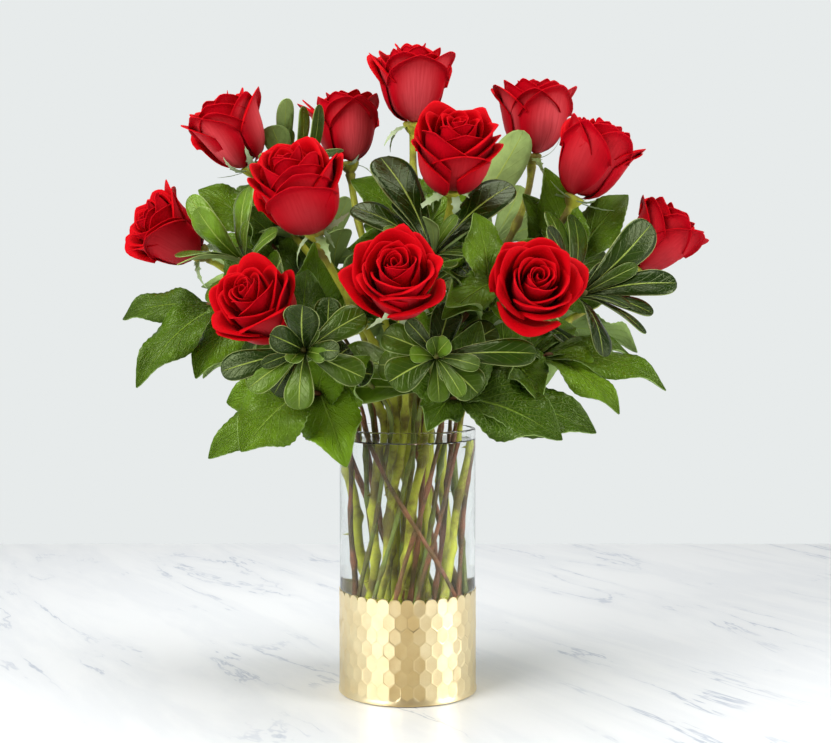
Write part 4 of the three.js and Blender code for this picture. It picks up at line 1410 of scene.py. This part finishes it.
def light_world(backdrop):
    """A pale even backdrop to the eye, and a studio that darkens behind the camera to the gold."""
    world = bpy.data.worlds.new("Studio")
    world.use_nodes = True
    bpy.context.scene.world = world
    tree = world.node_tree
    seen = tree.nodes["Background"]
    fill(tree, seen, {"Color": backdrop})
    way = add_node(tree, "SeparateXYZ", {0: add_node(tree, "TexCoord").outputs["Generated"]})
    front = step_mask(tree, way.outputs["Y"], -0.93, -0.84)
    walls = mixed(tree, front, STUDIO_DIM, tinted(backdrop, STUDIO_WALLS))
    ceiling = step_mask(tree, way.outputs["Z"], 0.08, 0.6)
    ray = add_node(tree, "LightPath").outputs
    studio = add_node(tree, "Background", {
        "Color": mixed(tree, ceiling, walls, tinted(backdrop, STUDIO_CEILING)),
        "Strength": between(tree, ray["Is Glossy Ray"], 1.0, STUDIO_GLOSS),
    })
    direct = maths(tree, "MAXIMUM", ray["Is Camera Ray"], ray["Is Transmission Ray"])
    both = add_node(tree, "MixShader", {0: direct, 1: studio.outputs[0], 2: seen.outputs[0]})
    fill(tree, tree.nodes["World Output"], {"Surface": both.outputs[0]})


class ROSES_OT_stage(bpy.types.Operator):
    """Adds the floor, the lights and the camera"""

    bl_idname = "roses.add_stage"
    bl_label = "Stage"

    def execute(self, context):
        settings = context.scene.rose_stage
        half = (settings.floor_back - FLOOR_FRONT) / 2
        middle = Matrix.Translation((0, settings.floor_back - half, 0))
        bm = bmesh.new()
        bmesh.ops.create_grid(
            bm, x_segments=1, y_segments=1, size=1,
            matrix=middle @ Matrix.Diagonal((FLOOR_HALF_WIDTH, half, 1, 1)),
        )
        mesh = bpy.data.meshes.new("floor")
        bm.to_mesh(mesh)
        bm.free()
        mesh.materials.append(floor_material("White marble", settings.floor_colour))
        floor = bpy.data.objects.new("floor", mesh)
        context.scene.collection.objects.link(floor)
        light_world(settings.backdrop_colour)
        for name, (share, size, at) in SOFTBOXES.items():
            add_softbox(name, settings.softbox_power * share, size, at)
        lens = bpy.data.cameras.new("Camera")
        lens.lens = settings.lens
        lens.sensor_width = SENSOR_WIDTH
        camera = bpy.data.objects.new("Camera", lens)
        camera.location = CAMERA_PLACE
        camera.rotation_euler = (CAMERA_TILT, 0, 0)
        context.scene.collection.objects.link(camera)
        context.scene.camera = camera
        context.scene.view_settings.view_transform = "Standard"
        return {"FINISHED"}


# ---- Panel ------------------------------------------------------------------------------------
SETTINGS = {
    "rose_vase": VaseSettings,
    "rose_blooms": RoseSettings,
    "rose_foliage": FoliageSettings,
    "rose_stage": StageSettings,
}
OPERATORS = (
    ROSES_OT_stage,
    ROSES_OT_vase,
    ROSES_OT_water,
    ROSES_OT_band,
    ROSES_OT_blooms,
    ROSES_OT_rose_stems,
    ROSES_OT_pittosporum,
    ROSES_OT_salal,
)


class ROSES_PT_panel(bpy.types.Panel):
    """Lists the settings and the pieces of the vase of roses"""

    bl_label = "Roses in a Vase"
    bl_idname = "ROSES_PT_panel"
    bl_space_type = "VIEW_3D"
    bl_region_type = "UI"
    bl_category = "Roses"

    def draw(self, context):
        layout = self.layout
        for name in SETTINGS:
            group = getattr(context.scene, name)
            box = layout.box()
            for setting in group.bl_rna.properties:
                if not setting.is_readonly and setting.identifier != "name":
                    box.prop(group, setting.identifier)
        for operator in OPERATORS:
            layout.operator(operator.bl_idname)


CLASSES = (*SETTINGS.values(), *OPERATORS, ROSES_PT_panel)


def register():
    for cls in CLASSES:
        bpy.utils.register_class(cls)
    for name, cls in SETTINGS.items():
        setattr(bpy.types.Scene, name, bpy.props.PointerProperty(type=cls))


def unregister():
    for name in SETTINGS:
        delattr(bpy.types.Scene, name)
    for cls in reversed(CLASSES):
        bpy.utils.unregister_class(cls)


def main():
    register()
    bpy.ops.roses.add_stage()
    bpy.ops.roses.add_vase()
    bpy.ops.roses.add_water()
    bpy.ops.roses.add_band()
    bpy.ops.roses.add_blooms()
    bpy.ops.roses.add_rose_stems()
    bpy.ops.roses.add_pittosporum()
    bpy.ops.roses.add_salal()


if __name__ == "__main__":
    main()
